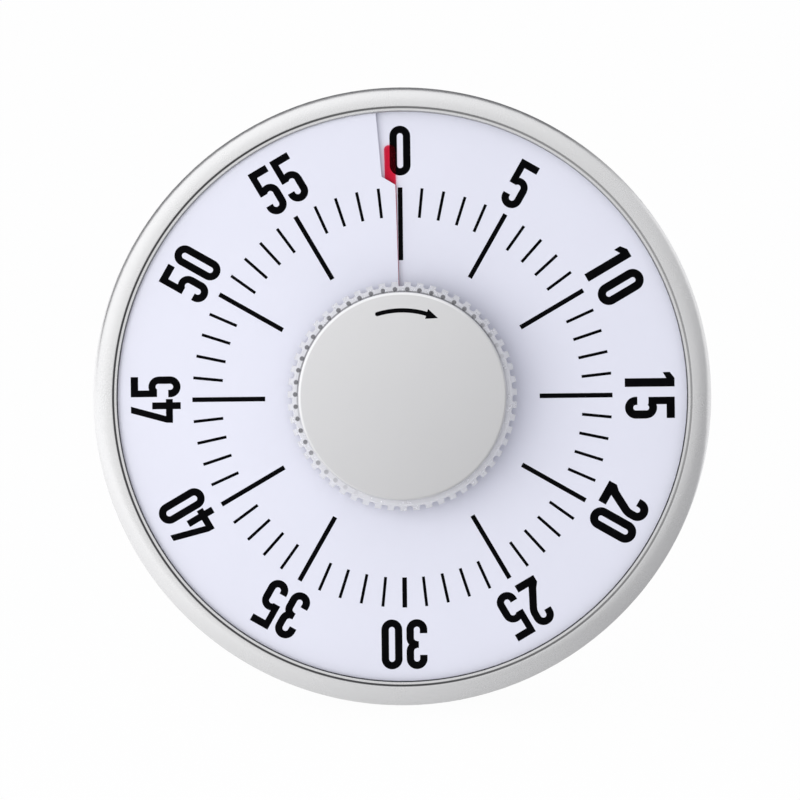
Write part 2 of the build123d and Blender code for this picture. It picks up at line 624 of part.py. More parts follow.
def door_recess():
    """Seat of the battery door with the grooves for its tongues, open to the side."""
    length = CASE_R + DOOR_INNER_X + DOOR_FIT
    middle = DOOR_INNER_X + DOOR_FIT - length / 2
    wide = 2 * (DOOR_HALF_Y + DOOR_FIT)
    seat = slab(length, wide, 0, DOOR_SEAT, middle, 0)
    groove_bottom = DOOR_T - TONGUE_T - DOOR_PLAY
    return seat + slab(length, wide + 2 * TONGUE, groove_bottom, DOOR_SEAT, middle, 0)


def rear_housing():
    """White rear case with its bosses, battery bay, stand recess, magnet pockets, keyhole,
    sound slots, switch slot and foot bosses."""
    case, outer = case_body()
    adds = [outer & at(0, 0, 0, extrude(stand_outline(STAND_CLEAR + RECESS_WALL), RECESS_DEPTH + RECESS_WALL))]
    cuts = [extrude(stand_outline(STAND_CLEAR), RECESS_DEPTH)]

    adds.append(slab(2 * (BAY_HALF_X + BAY_WALL), 2 * (BAY_HALF_Y + BAY_WALL), 0, BAY_DEPTH + BAY_WALL, BAY_X))
    cuts.append(slab(2 * BAY_HALF_X, 2 * BAY_HALF_Y, 0, BAY_DEPTH, BAY_X))
    cuts.append(door_recess())

    adds += around(disc(BOSS_R, 0, BOSS_SPLIT, 0, SCREW_RADIUS), SCREW_ANGLES)
    cuts += around(disc(SCREW_BORE_R, 0, SCREW_SEAT, 0, SCREW_RADIUS), SCREW_ANGLES)
    cuts += around(disc(SCREW_R + FIT, SCREW_SEAT, BOSS_SPLIT, 0, SCREW_RADIUS), SCREW_ANGLES)

    pocket = MAGNET_SKIN + MAGNET_T + MAGNET_FIT
    for x, y in magnet_places():
        adds.append(disc(MAGNET_R + MAGNET_FIT + POCKET_WALL, 0, pocket + POCKET_WALL, x, y))
        cuts.append(disc(MAGNET_R + MAGNET_FIT, 0, pocket, x, y))

    head_room = CASE_WALL + KEYHOLE_SPACE
    box_y = KEYHOLE_Y + KEYHOLE_RISE / 2
    box_w = 2 * (KEYHOLE_R + KEYHOLE_ROOM)
    box_l = KEYHOLE_RISE + box_w
    adds.append(slab(box_w + 2 * BAY_WALL, box_l + 2 * BAY_WALL, 0, head_room + BAY_WALL, 0, box_y) & outer)
    cuts.append(slab(box_w, box_l, CASE_WALL, head_room, 0, box_y))
    cuts.append(keyhole())

    ring = disc(BUZZER_R + BUZZER_FIT + BAY_WALL, 0, CASE_WALL + BUZZER_T / 2, BUZZER_X, BUZZER_Y)
    adds.append(ring - disc(BUZZER_R + BUZZER_FIT, 0, CASE_WALL + BUZZER_T / 2, BUZZER_X, BUZZER_Y))
    cuts += sound_slots()

    slot_length = SLIDER_LENGTH + 2 * (SWITCH_TRAVEL + SWITCH_FIT)
    cuts.append(slab(SLIDER_W + 2 * SWITCH_FIT, slot_length, 0, CASE_WALL, SWITCH_X, SWITCH_Y))
    cuts.append(slab(SWITCH_DISH_W, SWITCH_DISH_LENGTH, 0, SWITCH_DISH_DEPTH, SWITCH_X, SWITCH_Y,
                     SWITCH_DISH_CORNER))
    for x, y in board_posts():
        adds.append(disc(BOARD_POST_R, 0, BOARD_Z, x, y))

    for x in (-FOOT_X, FOOT_X):
        adds.append(foot_disc(x, FOOT_R + FOOT_BOSS_T, FOOT_PROUD, FOOT_TALL + 2 * FOOT_BOSS_T) & case_reach())
        cuts.append(foot_disc(x, FOOT_R + PAD_FIT, 0, FOOT_TALL + PAD_FIT))

    case = case + adds
    for cut in cuts:
        case -= cut
    for clip in clip_windows():
        case -= clip
    return case - hinge_bore()


def case_reach():
    """The space that the case may fill, from its back to the ring's rear edge."""
    return disc(RING_R, 0, RING_REAR)


def clip_windows():
    """Windows in the case's collar for the ring's clips."""
    half = CLIP_HALF_ANGLE + CLIP_PLAY
    window = sector(SPIGOT_R - 2 * SPIGOT_WALL, RING_R, -half, half,
                    CLIP_BOTTOM - FIT, CLIP_BOTTOM + CLIP_TALL + FIT)
    return around(window, CLIP_ANGLES)


def foot_disc(x, radius, start, end):
    """A round post square to the floor: start and end are distances above the floor."""
    base = Plane(origin=(x, *foot_place(start)), z_dir=FLOOR_NORMAL)
    return base * extrude(Circle(radius), end - start)


def foot_place(above):
    """Face-frame Y and Z of a foot's centre line, at a distance above the floor."""
    lean = radians(LEAN)
    floor_y = (FLOOR_LEVEL - FOOT_Z * sin(lean)) / cos(lean)
    return floor_y + above * cos(lean), FOOT_Z + above * sin(lean)


def magnet_places():
    """Centres of the four magnets."""
    return [(x, y) for x in (-MAGNET_X, MAGNET_X) for y in (-MAGNET_Y, MAGNET_Y)]


def magnets():
    """Four disc magnets in the back."""
    return [disc(MAGNET_R, MAGNET_SKIN, MAGNET_SKIN + MAGNET_T, x, y) for x, y in magnet_places()]


def rubber_feet():
    """Two rubber feet that the timer stands on."""
    return [foot_disc(x, FOOT_R, 0, FOOT_TALL) for x in (-FOOT_X, FOOT_X)]


def cross_screw(radius, head_r, head_t, seat, tip):
    """A screw with its head below the seat and its tip above, slotted crosswise."""
    screw = disc(head_r, seat - head_t, seat) + disc(radius, seat, tip)
    bar = slab(CROSS_W, CROSS_REACH * head_r, seat - head_t, seat - head_t + CROSS_DEPTH)
    return screw - bar - Rot(0, 0, 90) * bar


def housing_screws():
    """Four screws from the back of the case into the dial carrier."""
    screw = cross_screw(SCREW_R, SCREW_HEAD_R, SCREW_HEAD_T, SCREW_SEAT, SCREW_TIP)
    return around(at(0, SCREW_RADIUS, 0, screw), SCREW_ANGLES)


# ---------------------------------------------------------------- stand
def hinge_bore():
    """Bore for the hinge pin through both walls of the recess."""
    length = STAND_W + 2 * (STAND_CLEAR + RECESS_WALL)
    return cross_rod(HINGE_PIN_R + HINGE_PIN_FIT, length, STAND_PIVOT_Y, STAND_PIVOT_Z)


def cross_rod(radius, length, y, z, x=0):
    """A rod along X."""
    return Location((x - length / 2, y, z), (0, 90, 0)) * extrude(Circle(radius), length)


def opened(shape):
    """A piece of the folded stand, swung open about the hinge pin."""
    hinge = Axis((0, STAND_PIVOT_Y, STAND_PIVOT_Z), (1, 0, 0))
    return shape.rotate(hinge, STAND_ANGLE)


def folded_stand():
    """Tongue of the stand in the folded place: barrel, heel, rounded tip and ribbed inner face."""
    length, heel = stand_length(), stand_heel()
    tip_y, tip_z = STAND_PIVOT_Y - length, STAND_PIVOT_Z + stand_axis_offset()
    span = length + heel
    inner_face = STAND_SKIN + STAND_T
    leg = slab(STAND_W, span, STAND_SKIN, inner_face, 0, tip_y + span / 2)
    outer_edges = leg.edges().filter_by(Axis.Y).group_by(Axis.Z)[0]
    leg = fillet(outer_edges, STAND_EDGE)
    leg += cross_rod(STAND_T / 2, STAND_W, tip_y, tip_z)
    leg += cross_rod(STAND_BARREL_R, STAND_W, STAND_PIVOT_Y, STAND_PIVOT_Z)
    hollow_top = STAND_PIVOT_Y - STAND_BARREL_R - STAND_FRAME
    hollow_bottom = tip_y + PAD_R + STAND_FRAME
    hollow = slab(STAND_W - 2 * STAND_FRAME, hollow_top - hollow_bottom, inner_face - STAND_PANEL, inner_face,
                  0, (hollow_top + hollow_bottom) / 2, STAND_FRAME / 2)
    pitch = (hollow_top - hollow_bottom) / (STAND_RIBS + 1)
    for step in range(STAND_RIBS):
        hollow -= slab(STAND_W, STAND_RIB_T, inner_face - STAND_PANEL, inner_face, 0,
                       hollow_bottom + pitch * (step + 1))
    leg -= hollow
    for x in (-PAD_X, PAD_X):
        leg -= cross_rod(PAD_R + PAD_FIT, PAD_LENGTH + 2 * PAD_FIT, tip_y, tip_z, x)
    return leg - cross_rod(HINGE_PIN_R + HINGE_PIN_FIT, STAND_W, STAND_PIVOT_Y, STAND_PIVOT_Z)


def kickstand():
    """The stand, open."""
    return opened(folded_stand())


def kickstand_pads():
    """Rubber rolls at the stand's tip."""
    y, z = STAND_PIVOT_Y - stand_length(), STAND_PIVOT_Z + stand_axis_offset()
    return [opened(cross_rod(PAD_R, PAD_LENGTH, y, z, x)) for x in (-PAD_X, PAD_X)]


def kickstand_pin():
    """Steel hinge pin."""
    return cross_rod(HINGE_PIN_R, STAND_W + 2 * STAND_CLEAR + RECESS_WALL, STAND_PIVOT_Y, STAND_PIVOT_Z)


# ---------------------------------------------------------------- battery
def battery_cell():
    """AA cell with its nub upwards."""
    body = at(0, 0, -CELL_LENGTH / 2, extrude(Circle(CELL_R), CELL_LENGTH - CELL_NUB))
    body = fillet(body.edges().filter_by(GeomType.CIRCLE), CELL_EDGE)
    body += at(0, 0, CELL_LENGTH / 2 - CELL_NUB, extrude(Circle(CELL_NUB_R), CELL_NUB))
    return Location((BAY_X, 0, CELL_Z), (-90, 0, 0)) * body


def battery_contacts():
    """Two sprung strips, one at each end of the cell, bowed towards it."""
    contacts = []
    for side in (-1, 1):
        wall = side * BAY_HALF_Y
        reach = BAY_END - CONTACT_T if side < 0 else CONTACT_BOW
        half = CONTACT_W / 2
        bow = ThreePointArc((-half, 0), (0, reach), (half, 0))
        strip = make_face(bow + Line((half, 0), (-half, 0))) - make_face(
            ThreePointArc((-half + CONTACT_T, 0), (0, reach - CONTACT_T), (half - CONTACT_T, 0))
            + Line((half - CONTACT_T, 0), (-half + CONTACT_T, 0)))
        solid = at(0, 0, -half, extrude(strip, CONTACT_W))
        solid += at(0, -CONTACT_T / 2, 0, Box(CONTACT_W + 2 * CONTACT_LAP, CONTACT_T, CONTACT_W))
        solid = Rot(0, 0, 180) * solid if side > 0 else solid
        contacts.append(at(BAY_X, wall - side * CONTACT_T, CELL_Z, solid))
    return contacts


def battery_door():
    """Sliding door with tongues along its edges and grip grooves, its outer end on the case's rim."""
    outer = case_body()[1]
    length = CASE_R + DOOR_INNER_X
    middle = DOOR_INNER_X - length / 2
    door = slab(length, 2 * DOOR_HALF_Y, 0, DOOR_T, middle)
    door += slab(length, 2 * (DOOR_HALF_Y + TONGUE), DOOR_T - TONGUE_T, DOOR_T, middle)
    door &= outer
    for step in range(DOOR_GRIPS):
        x = BAY_X - DOOR_GRIP_OFFSET + (step - (DOOR_GRIPS - 1) / 2) * DOOR_GRIP_PITCH
        door -= slab(DOOR_GRIP_W, DOOR_GRIP_LENGTH, 0, DOOR_GRIP_DEPTH, x)
    return door


# ---------------------------------------------------------------- sound, switch and board
def buzzer():
    """Round sounder behind the slots, with its sound hole."""
    body = disc(BUZZER_R, CASE_WALL + SEAT_GAP, CASE_WALL + BUZZER_T, BUZZER_X, BUZZER_Y)
    return body - disc(BUZZER_HOLE_R, CASE_WALL, CASE_WALL + BUZZER_T / 2, BUZZER_X, BUZZER_Y)


def volume_slider():
    """Slider of the volume switch: a ribbed button and the flange that keeps it in."""
    skin = SWITCH_DISH_DEPTH / 2
    button = slab(SLIDER_W, SLIDER_LENGTH, skin, SLIDER_FLANGE_Z, SWITCH_X, SWITCH_Y)
    for step in range(SLIDER_RIBS):
        y = SWITCH_Y + (step - (SLIDER_RIBS - 1) / 2) * SLIDER_RIB_PITCH
        button += slab(SLIDER_W, SLIDER_RIB_W, SLIDER_SKIN, skin, SWITCH_X, y)
    return button + slab(SLIDER_FLANGE_W, SLIDER_FLANGE_LENGTH, SLIDER_FLANGE_Z,
                         SLIDER_FLANGE_Z + SLIDER_FLANGE_T, SWITCH_X, SWITCH_Y)


def switch_body():
    """Body of the volume switch, on the back of the board."""
    return slab(SWITCH_BODY_W, SWITCH_BODY_LENGTH, SWITCH_BODY_Z, BOARD_Z, SWITCH_X, SWITCH_Y)


def board_posts():
    """Centres of the two posts that carry the board."""
    dx, dy = BOARD_W / 2 - BOARD_POST_INSET, BOARD_LENGTH / 2 - BOARD_POST_INSET
    return [(BOARD_X - dx, BOARD_Y + dy), (BOARD_X + dx, BOARD_Y - dy)]


def circuit_board():
    """Circuit board on its posts."""
    return slab(BOARD_W, BOARD_LENGTH, BOARD_Z, BOARD_Z + BOARD_T, BOARD_X, BOARD_Y, BOARD_CORNER)


def board_components():
    """Chip, capacitor and crystal on the front of the board."""
    chip = at(*CHIP_PLACE, 0, slab(CHIP[0], CHIP[1], 0, CHIP[2]))
    capacitor = disc(CAPACITOR_R, 0, CAPACITOR_TALL, *CAPACITOR_PLACE)
    crystal = disc(CRYSTAL_R, 0, CRYSTAL_TALL, *CRYSTAL_PLACE)
    return [at(BOARD_X, BOARD_Y, BOARD_Z + BOARD_T, solid) for solid in (chip, capacitor, crystal)]


# ---------------------------------------------------------------- movement
def pillar_places():
    """Centres of the four pillars between the movement's plates."""
    dx, dy = PLATE_W / 2 - PILLAR_INSET, PLATE_LENGTH / 2 - PILLAR_INSET
    return [(x, y) for x in (-dx, dx) for y in (-dy, dy)]


def staff_places():
    """Centres of the first staff, the second staff and the rotor."""
    places, (x, y) = [], (0.0, 0.0)
    pairs = ((CENTRE_TEETH + FIRST_PINION_TEETH, FIRST_BEARING),
             (FIRST_WHEEL_TEETH + SECOND_PINION_TEETH, SECOND_BEARING),
             (SECOND_WHEEL_TEETH + ROTOR_TEETH, ROTOR_BEARING))
    for teeth, bearing in pairs:
        distance = MODULE * teeth / 2
        x, y = x + distance * cos(radians(bearing)), y + distance * sin(radians(bearing))
        places.append((x, y))
    return places


def rear_plate():
    """Rear plate of the movement with its pillars and pivot holes."""
    top = MOVEMENT_REAR + PLATE_T
    plate = slab(PLATE_W, PLATE_LENGTH, MOVEMENT_REAR, top, 0, 0, PLATE_CORNER)
    for x, y in pillar_places():
        plate += disc(PILLAR_R, top, MOVEMENT_FRONT, x, y)
        plate -= disc(SCREW_R + SCREW_FIT, MOVEMENT_REAR, MOVEMENT_FRONT, x, y)
    plate -= disc(PIVOT_R + RUNNING, MOVEMENT_REAR, top)
    for x, y in staff_places():
        plate -= disc(STAFF_R + RUNNING, MOVEMENT_REAR, top, x, y)
    return plate


def front_plate():
    """Front plate of the movement, against the dial carrier."""
    plate = slab(PLATE_W, PLATE_LENGTH, MOVEMENT_FRONT, CARRIER_UNDER, 0, 0, PLATE_CORNER)
    plate -= disc(ARBOR_R + RUNNING, MOVEMENT_FRONT, CARRIER_UNDER)
    for x, y in pillar_places():
        plate -= disc(SCREW_R + SCREW_FIT, MOVEMENT_FRONT, CARRIER_UNDER, x, y)
    for x, y in staff_places():
        plate -= disc(STAFF_R + RUNNING, MOVEMENT_FRONT, CARRIER_UNDER, x, y)
    return plate


def movement_screws():
    """Four screws through the pillars into the dial carrier."""
    screw = cross_screw(SCREW_R, PILLAR_R, MOVEMENT_HEAD_T, MOVEMENT_REAR, CARRIER_FLOOR - RUNNING)
    return [at(x, y, 0, screw) for x, y in pillar_places()]


def gear(teeth, bearing, gap=False):
    """Flat outline of a gear: involute flanks above the base circle, radial below it. One tooth,
    or one gap, points along the bearing."""
    pitch_r = MODULE * teeth / 2
    tip_r, root_r = pitch_r + ADDENDUM * MODULE, pitch_r - DEDENDUM * MODULE
    base_r = pitch_r * cos(radians(PRESSURE_ANGLE))

    def spread(radius):
        """Involute angle at a radius."""
        lean = acos(min(1.0, base_r / radius))
        return tan(lean) - lean

    def half_angle(radius):
        return pi * TOOTH_SHARE / teeth + spread(pitch_r) - spread(max(radius, base_r))

    radii = (root_r, max(base_r, root_r * FLANK_START), pitch_r, tip_r)
    points = []
    for tooth in range(teeth):
        middle = radians(bearing) + 2 * pi * (tooth + (0.5 if gap else 0)) / teeth
        flank = [(r, middle - half_angle(r)) for r in radii]
        flank += [(r, middle + half_angle(r)) for r in reversed(radii)]
        points += [(r * cos(a), r * sin(a)) for r, a in flank]
    return make_face(Polyline(*points, close=True))


def centre_wheel():
    """Large wheel that the arbor carries through its friction clutch."""
    outline = gear(CENTRE_TEETH, FIRST_BEARING) - Circle(ARBOR_R + RUNNING)
    return at(0, 0, CENTRE_WHEEL_Z, extrude(outline, WHEEL_T))


def clutch_spring():
    """Dished washer between the arbor's collar and the centre wheel."""
    low = CENTRE_WHEEL_Z - CLUTCH_RISE
    return turned(
        (ARBOR_R + RUNNING, low), (ARBOR_R + RUNNING + CLUTCH_T, low), (CLUTCH_R, CENTRE_WHEEL_Z - CLUTCH_T / 2),
        (CLUTCH_R, CENTRE_WHEEL_Z), (CLUTCH_R - CLUTCH_T, CENTRE_WHEEL_Z),
    )


def staff(place, pinion, wheel):
    """A steel staff with a pinion and a wheel. Each is (teeth, bearing, is a gap, height, thickness)."""
    solid = disc(STAFF_R, MOVEMENT_REAR, CARRIER_UNDER - RUNNING)
    for teeth, bearing, gap, bottom, thickness in (pinion, wheel):
        solid += at(0, 0, bottom, extrude(gear(teeth, bearing, gap), thickness))
    return at(*place, 0, solid)


def first_staff():
    """Staff that the centre wheel drives."""
    pinion = (FIRST_PINION_TEETH, FIRST_BEARING + 180, True, CENTRE_WHEEL_Z - PINION_REACH, PINION_T)
    wheel = (FIRST_WHEEL_TEETH, SECOND_BEARING, False, FIRST_WHEEL_Z, WHEEL_T)
    return staff(staff_places()[0], pinion, wheel)


def second_staff():
    """Staff between the first staff and the rotor."""
    pinion = (SECOND_PINION_TEETH, SECOND_BEARING + 180, True, FIRST_WHEEL_Z - PINION_REACH, PINION_T)
    wheel = (SECOND_WHEEL_TEETH, ROTOR_BEARING, False, SECOND_WHEEL_Z, WHEEL_T)
    return staff(staff_places()[1], pinion, wheel)


def rotor():
    """Rotor of the stepping motor: a magnet below its pinion on one staff."""
    solid = disc(STAFF_R, MOVEMENT_REAR, CARRIER_UNDER - RUNNING)
    pinion = gear(ROTOR_TEETH, ROTOR_BEARING + 180, True)
    solid += at(0, 0, SECOND_WHEEL_Z - PINION_REACH, extrude(pinion, PINION_T))
    solid += disc(ROTOR_R, ROTOR_Z, ROTOR_Z + ROTOR_T)
    return at(*staff_places()[2], 0, solid)


def stator():
    """Iron plate with the hole that the rotor's magnet turns in, on two feet of the rear plate."""
    x, y = staff_places()[2]
    height = ROTOR_Z + (ROTOR_T - STATOR_T) / 2
    middle = x + STATOR_LENGTH / 2 - STATOR_W / 2
    plate = at(middle, y, height, extrude(SlotOverall(STATOR_LENGTH, STATOR_W), STATOR_T))
    plate -= disc(ROTOR_R + ROTOR_GAP, height, height + STATOR_T, x, y)
    foot_x = x + STATOR_LENGTH - STATOR_W
    return plate + disc(COIL_CORE_R, MOVEMENT_REAR + PLATE_T, height, foot_x, y)


def coil_place():
    """Centre of the coil, above the stator's far end."""
    x, y = staff_places()[2]
    return x + STATOR_LENGTH - STATOR_W, y


def coil():
    """Copper winding on its core, upright on the stator."""
    x, y = coil_place()
    bottom = ROTOR_Z + (ROTOR_T + STATOR_T) / 2
    top = bottom + COIL_LENGTH
    winding = disc(COIL_R - COIL_STEP, bottom, top, x, y)
    return winding + disc(COIL_R, bottom, bottom + COIL_FLANGE, x, y) + disc(
        COIL_R, top - COIL_FLANGE, top, x, y)


def zero_cam():
    """Disc with one notch on the arbor, which tells the board that the time is up."""
    outline = Circle(CAM_R) - Circle(ARBOR_R + SCREW_FIT)
    outline -= Pos(CAM_R, 0) * Rectangle(2 * CAM_NOTCH, 2 * CAM_NOTCH)
    return at(0, 0, CAM_Z, extrude(outline, CAM_T))


def zero_contact():
    """Leaf contact beside the cam, hung from the movement's front plate."""
    x = CAM_R + CAM_GAP + LEAF_T / 2
    leaf = slab(LEAF_T, LEAF_LENGTH, CAM_Z, MOVEMENT_FRONT, x, LEAF_LENGTH / 2 - LEAF_W / 2)
    return leaf + slab(LEAF_W, LEAF_W, CAM_Z + CAM_T, MOVEMENT_FRONT, x + LEAF_W / 2, LEAF_LENGTH - LEAF_W)


# ---------------------------------------------------------------- assembly
PIECES = {
    "front_ring": front_ring,
    "dial_plate": dial_plate,
    "dial_carrier": dial_carrier,
    "time_film": time_film,
    "film_hub": film_hub,
    "knob_core": knob_core,
    "knob_skirt": knob_skirt,
    "knob_cap": knob_cap,
    "arbor": arbor,
    "rear_housing": rear_housing,
    "housing_screws": housing_screws,
    "magnets": magnets,
    "rubber_feet": rubber_feet,
    "kickstand": kickstand,
    "kickstand_pads": kickstand_pads,
    "kickstand_pin": kickstand_pin,
    "battery_cell": battery_cell,
    "battery_contacts": battery_contacts,
    "battery_door": battery_door,
    "buzzer": buzzer,
    "volume_slider": volume_slider,
    "switch_body": switch_body,
    "circuit_board": circuit_board,
    "board_components": board_components,
    "movement_rear_plate": rear_plate,
    "movement_front_plate": front_plate,
    "movement_screws": movement_screws,
    "centre_wheel": centre_wheel,
    "clutch_spring": clutch_spring,
    "first_staff": first_staff,
    "second_staff": second_staff,
    "rotor": rotor,
    "stator": stator,
    "coil": coil,
    "zero_cam": zero_cam,
    "zero_contact": zero_contact,
}


def solids_of(made):
    """The solids of one piece, whatever its function gives."""
    if isinstance(made, (list, tuple)):
        return [solid for item in made for solid in solids_of(item)]
    return list(made.solids())


def place(solids_by_name):
    """Lean the timer back, and put the middle of its footprint at the origin, on the floor."""
    lean = Rot(90 - LEAN, 0, 0)
    leaned = {name: [lean * solid for solid in solids] for name, solids in solids_by_name.items()}
    box = Compound([solid for solids in leaned.values() for solid in solids]).bounding_box()
    shift = Pos(-(box.min.X + box.max.X) / 2, -(box.min.Y + box.max.Y) / 2, -box.min.Z)
    return {name: [shift * solid for solid in solids] for name, solids in leaned.items()}, shift * lean


def main():
    """Build every piece, place the timer and write one STEP for each node."""
    os.makedirs("parts", exist_ok=True)
    placed, _ = place({name: solids_of(make()) for name, make in PIECES.items()})
    for name, solids in placed.items():
        shape = solids[0] if len(solids) == 1 else Compound(solids)
        shape.label = name
        export_step(shape, f"parts/{name}.step")


if __name__ == "__main__":
    main()
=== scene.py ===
"""Looks, light and camera of a visual countdown timer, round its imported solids."""

import json
import logging
import math
from collections.abc import Callable
from dataclasses import dataclass
from enum import Enum

import bmesh
import bpy
from mathutils import Matrix, Vector
from mathutils.geometry import delaunay_2d_cdt


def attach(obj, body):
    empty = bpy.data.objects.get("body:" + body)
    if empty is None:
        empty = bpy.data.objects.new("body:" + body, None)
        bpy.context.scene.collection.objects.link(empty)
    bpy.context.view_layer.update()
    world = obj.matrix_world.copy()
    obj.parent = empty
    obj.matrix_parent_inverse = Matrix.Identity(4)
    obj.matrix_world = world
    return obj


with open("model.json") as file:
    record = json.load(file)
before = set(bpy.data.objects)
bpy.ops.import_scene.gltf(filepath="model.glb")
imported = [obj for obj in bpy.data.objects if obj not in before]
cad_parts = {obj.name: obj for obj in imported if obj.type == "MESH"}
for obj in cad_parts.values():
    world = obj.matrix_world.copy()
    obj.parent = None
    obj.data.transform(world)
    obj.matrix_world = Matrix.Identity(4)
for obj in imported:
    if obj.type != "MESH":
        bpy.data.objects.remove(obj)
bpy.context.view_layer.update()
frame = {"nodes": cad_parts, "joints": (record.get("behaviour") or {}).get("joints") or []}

log = logging.getLogger("timer")

MM = 0.001
IMAGE = 800                       # side of the picture in pixels
MINUTE = 6.0                      # degrees of the dial to the minute
KNOB_ANCHOR = 46.6 * MM           # the knob's joint above the back of the case

Colour = tuple[float, float, float]
Point2 = tuple[float, float]
Range = tuple[float, float]
Node = bpy.types.Node
Socket = bpy.types.NodeSocket
Material = bpy.types.Material

MIDDLE: Range = (0.3, 0.7)        # the part of a noise that a mask uses
WHITE: Colour = (1.0, 1.0, 1.0)


class Body(str, Enum):
    """Bodies of the timer that a printed piece rides on."""

    TIMER = "timer"
    KNOB = "knob"


class Slot(str, Enum):
    """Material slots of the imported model."""

    RING = "ring"
    DIAL = "dial"
    FILM = "film"
    INNER_PLASTIC = "inner_plastic"
    KNOB_CORE = "knob_core"
    KNOB_SKIRT = "knob_skirt"
    KNOB_CAP = "knob_cap"
    STEEL = "steel"
    CASE = "case"
    RUBBER = "rubber"
    MAGNET = "magnet"
    CELL = "cell"
    BLACK_PLASTIC = "black_plastic"
    BOARD = "board"
    WHEEL = "wheel"
    COPPER = "copper"
    BRASS = "brass"


# ---- the dial's own frame ----


@dataclass(frozen=True)
class FaceFrame:
    """The dial's frame: x to three o'clock, y to twelve o'clock, z out of the face."""

    origin: Vector
    right: Vector
    up: Vector
    out: Vector

    @classmethod
    def from_knob(cls, joints: list[dict], height: float) -> "FaceFrame":
        """Reads the frame from the knob's joint.

        Args:
            joints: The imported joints.
            height: Height of the joint's anchor above the back of the case, in metres.

        Returns:
            The dial's frame, with its origin on the knob's axis at the back of the case.
        """
        joint = next(j for j in joints if j["name"] == "knob_turn")
        out = -Vector(joint["axis"]).normalized()
        right = Vector((1, 0, 0))
        return cls(Vector(joint["pos_m"]) - out * height, right, out.cross(right), out)

    def point(self, x: float, y: float, z: float) -> Vector:
        """World point of a place on the dial, all in metres."""
        return self.origin + self.right * x + self.up * y + self.out * z

    def towards(self, angle: float) -> Vector:
        """Direction in the dial's plane towards a clock angle in degrees."""
        turn = math.radians(angle)
        return self.right * math.sin(turn) + self.up * math.cos(turn)


@dataclass(frozen=True)
class DialScrew:
    """The screw surface that the dial follows: it rises once round, clockwise."""

    front: float = 32.4 * MM      # front of the dial at twelve o'clock, right of the slit
    lead: float = 1.6 * MM

    def height(self, x: float, y: float, low: float) -> float:
        """Height of the dial's front.

        Args:
            x: Place towards three o'clock.
            y: Place towards twelve o'clock.
            low: Lowest clock angle that the piece reaches, which picks the turn.

        Returns:
            The height above the back of the case, in metres.
        """
        angle = (math.degrees(math.atan2(x, y)) - low) % 360 + low
        return self.front + self.lead * angle / 360


# ---- object and node helpers ----


def new_object(name: str, data: bpy.types.ID) -> bpy.types.Object:
    """Makes an object of its data and links it to the scene."""
    obj = bpy.data.objects.new(name, data)
    bpy.context.scene.collection.objects.link(obj)
    return obj


def mesh_object(name: str, mesh: bmesh.types.BMesh, material: Material) -> bpy.types.Object:
    """Makes an object of a mesh being built, which it frees, and gives it a material."""
    data = bpy.data.meshes.new(name)
    mesh.to_mesh(data)
    mesh.free()
    data.materials.append(material)
    return new_object(name, data)


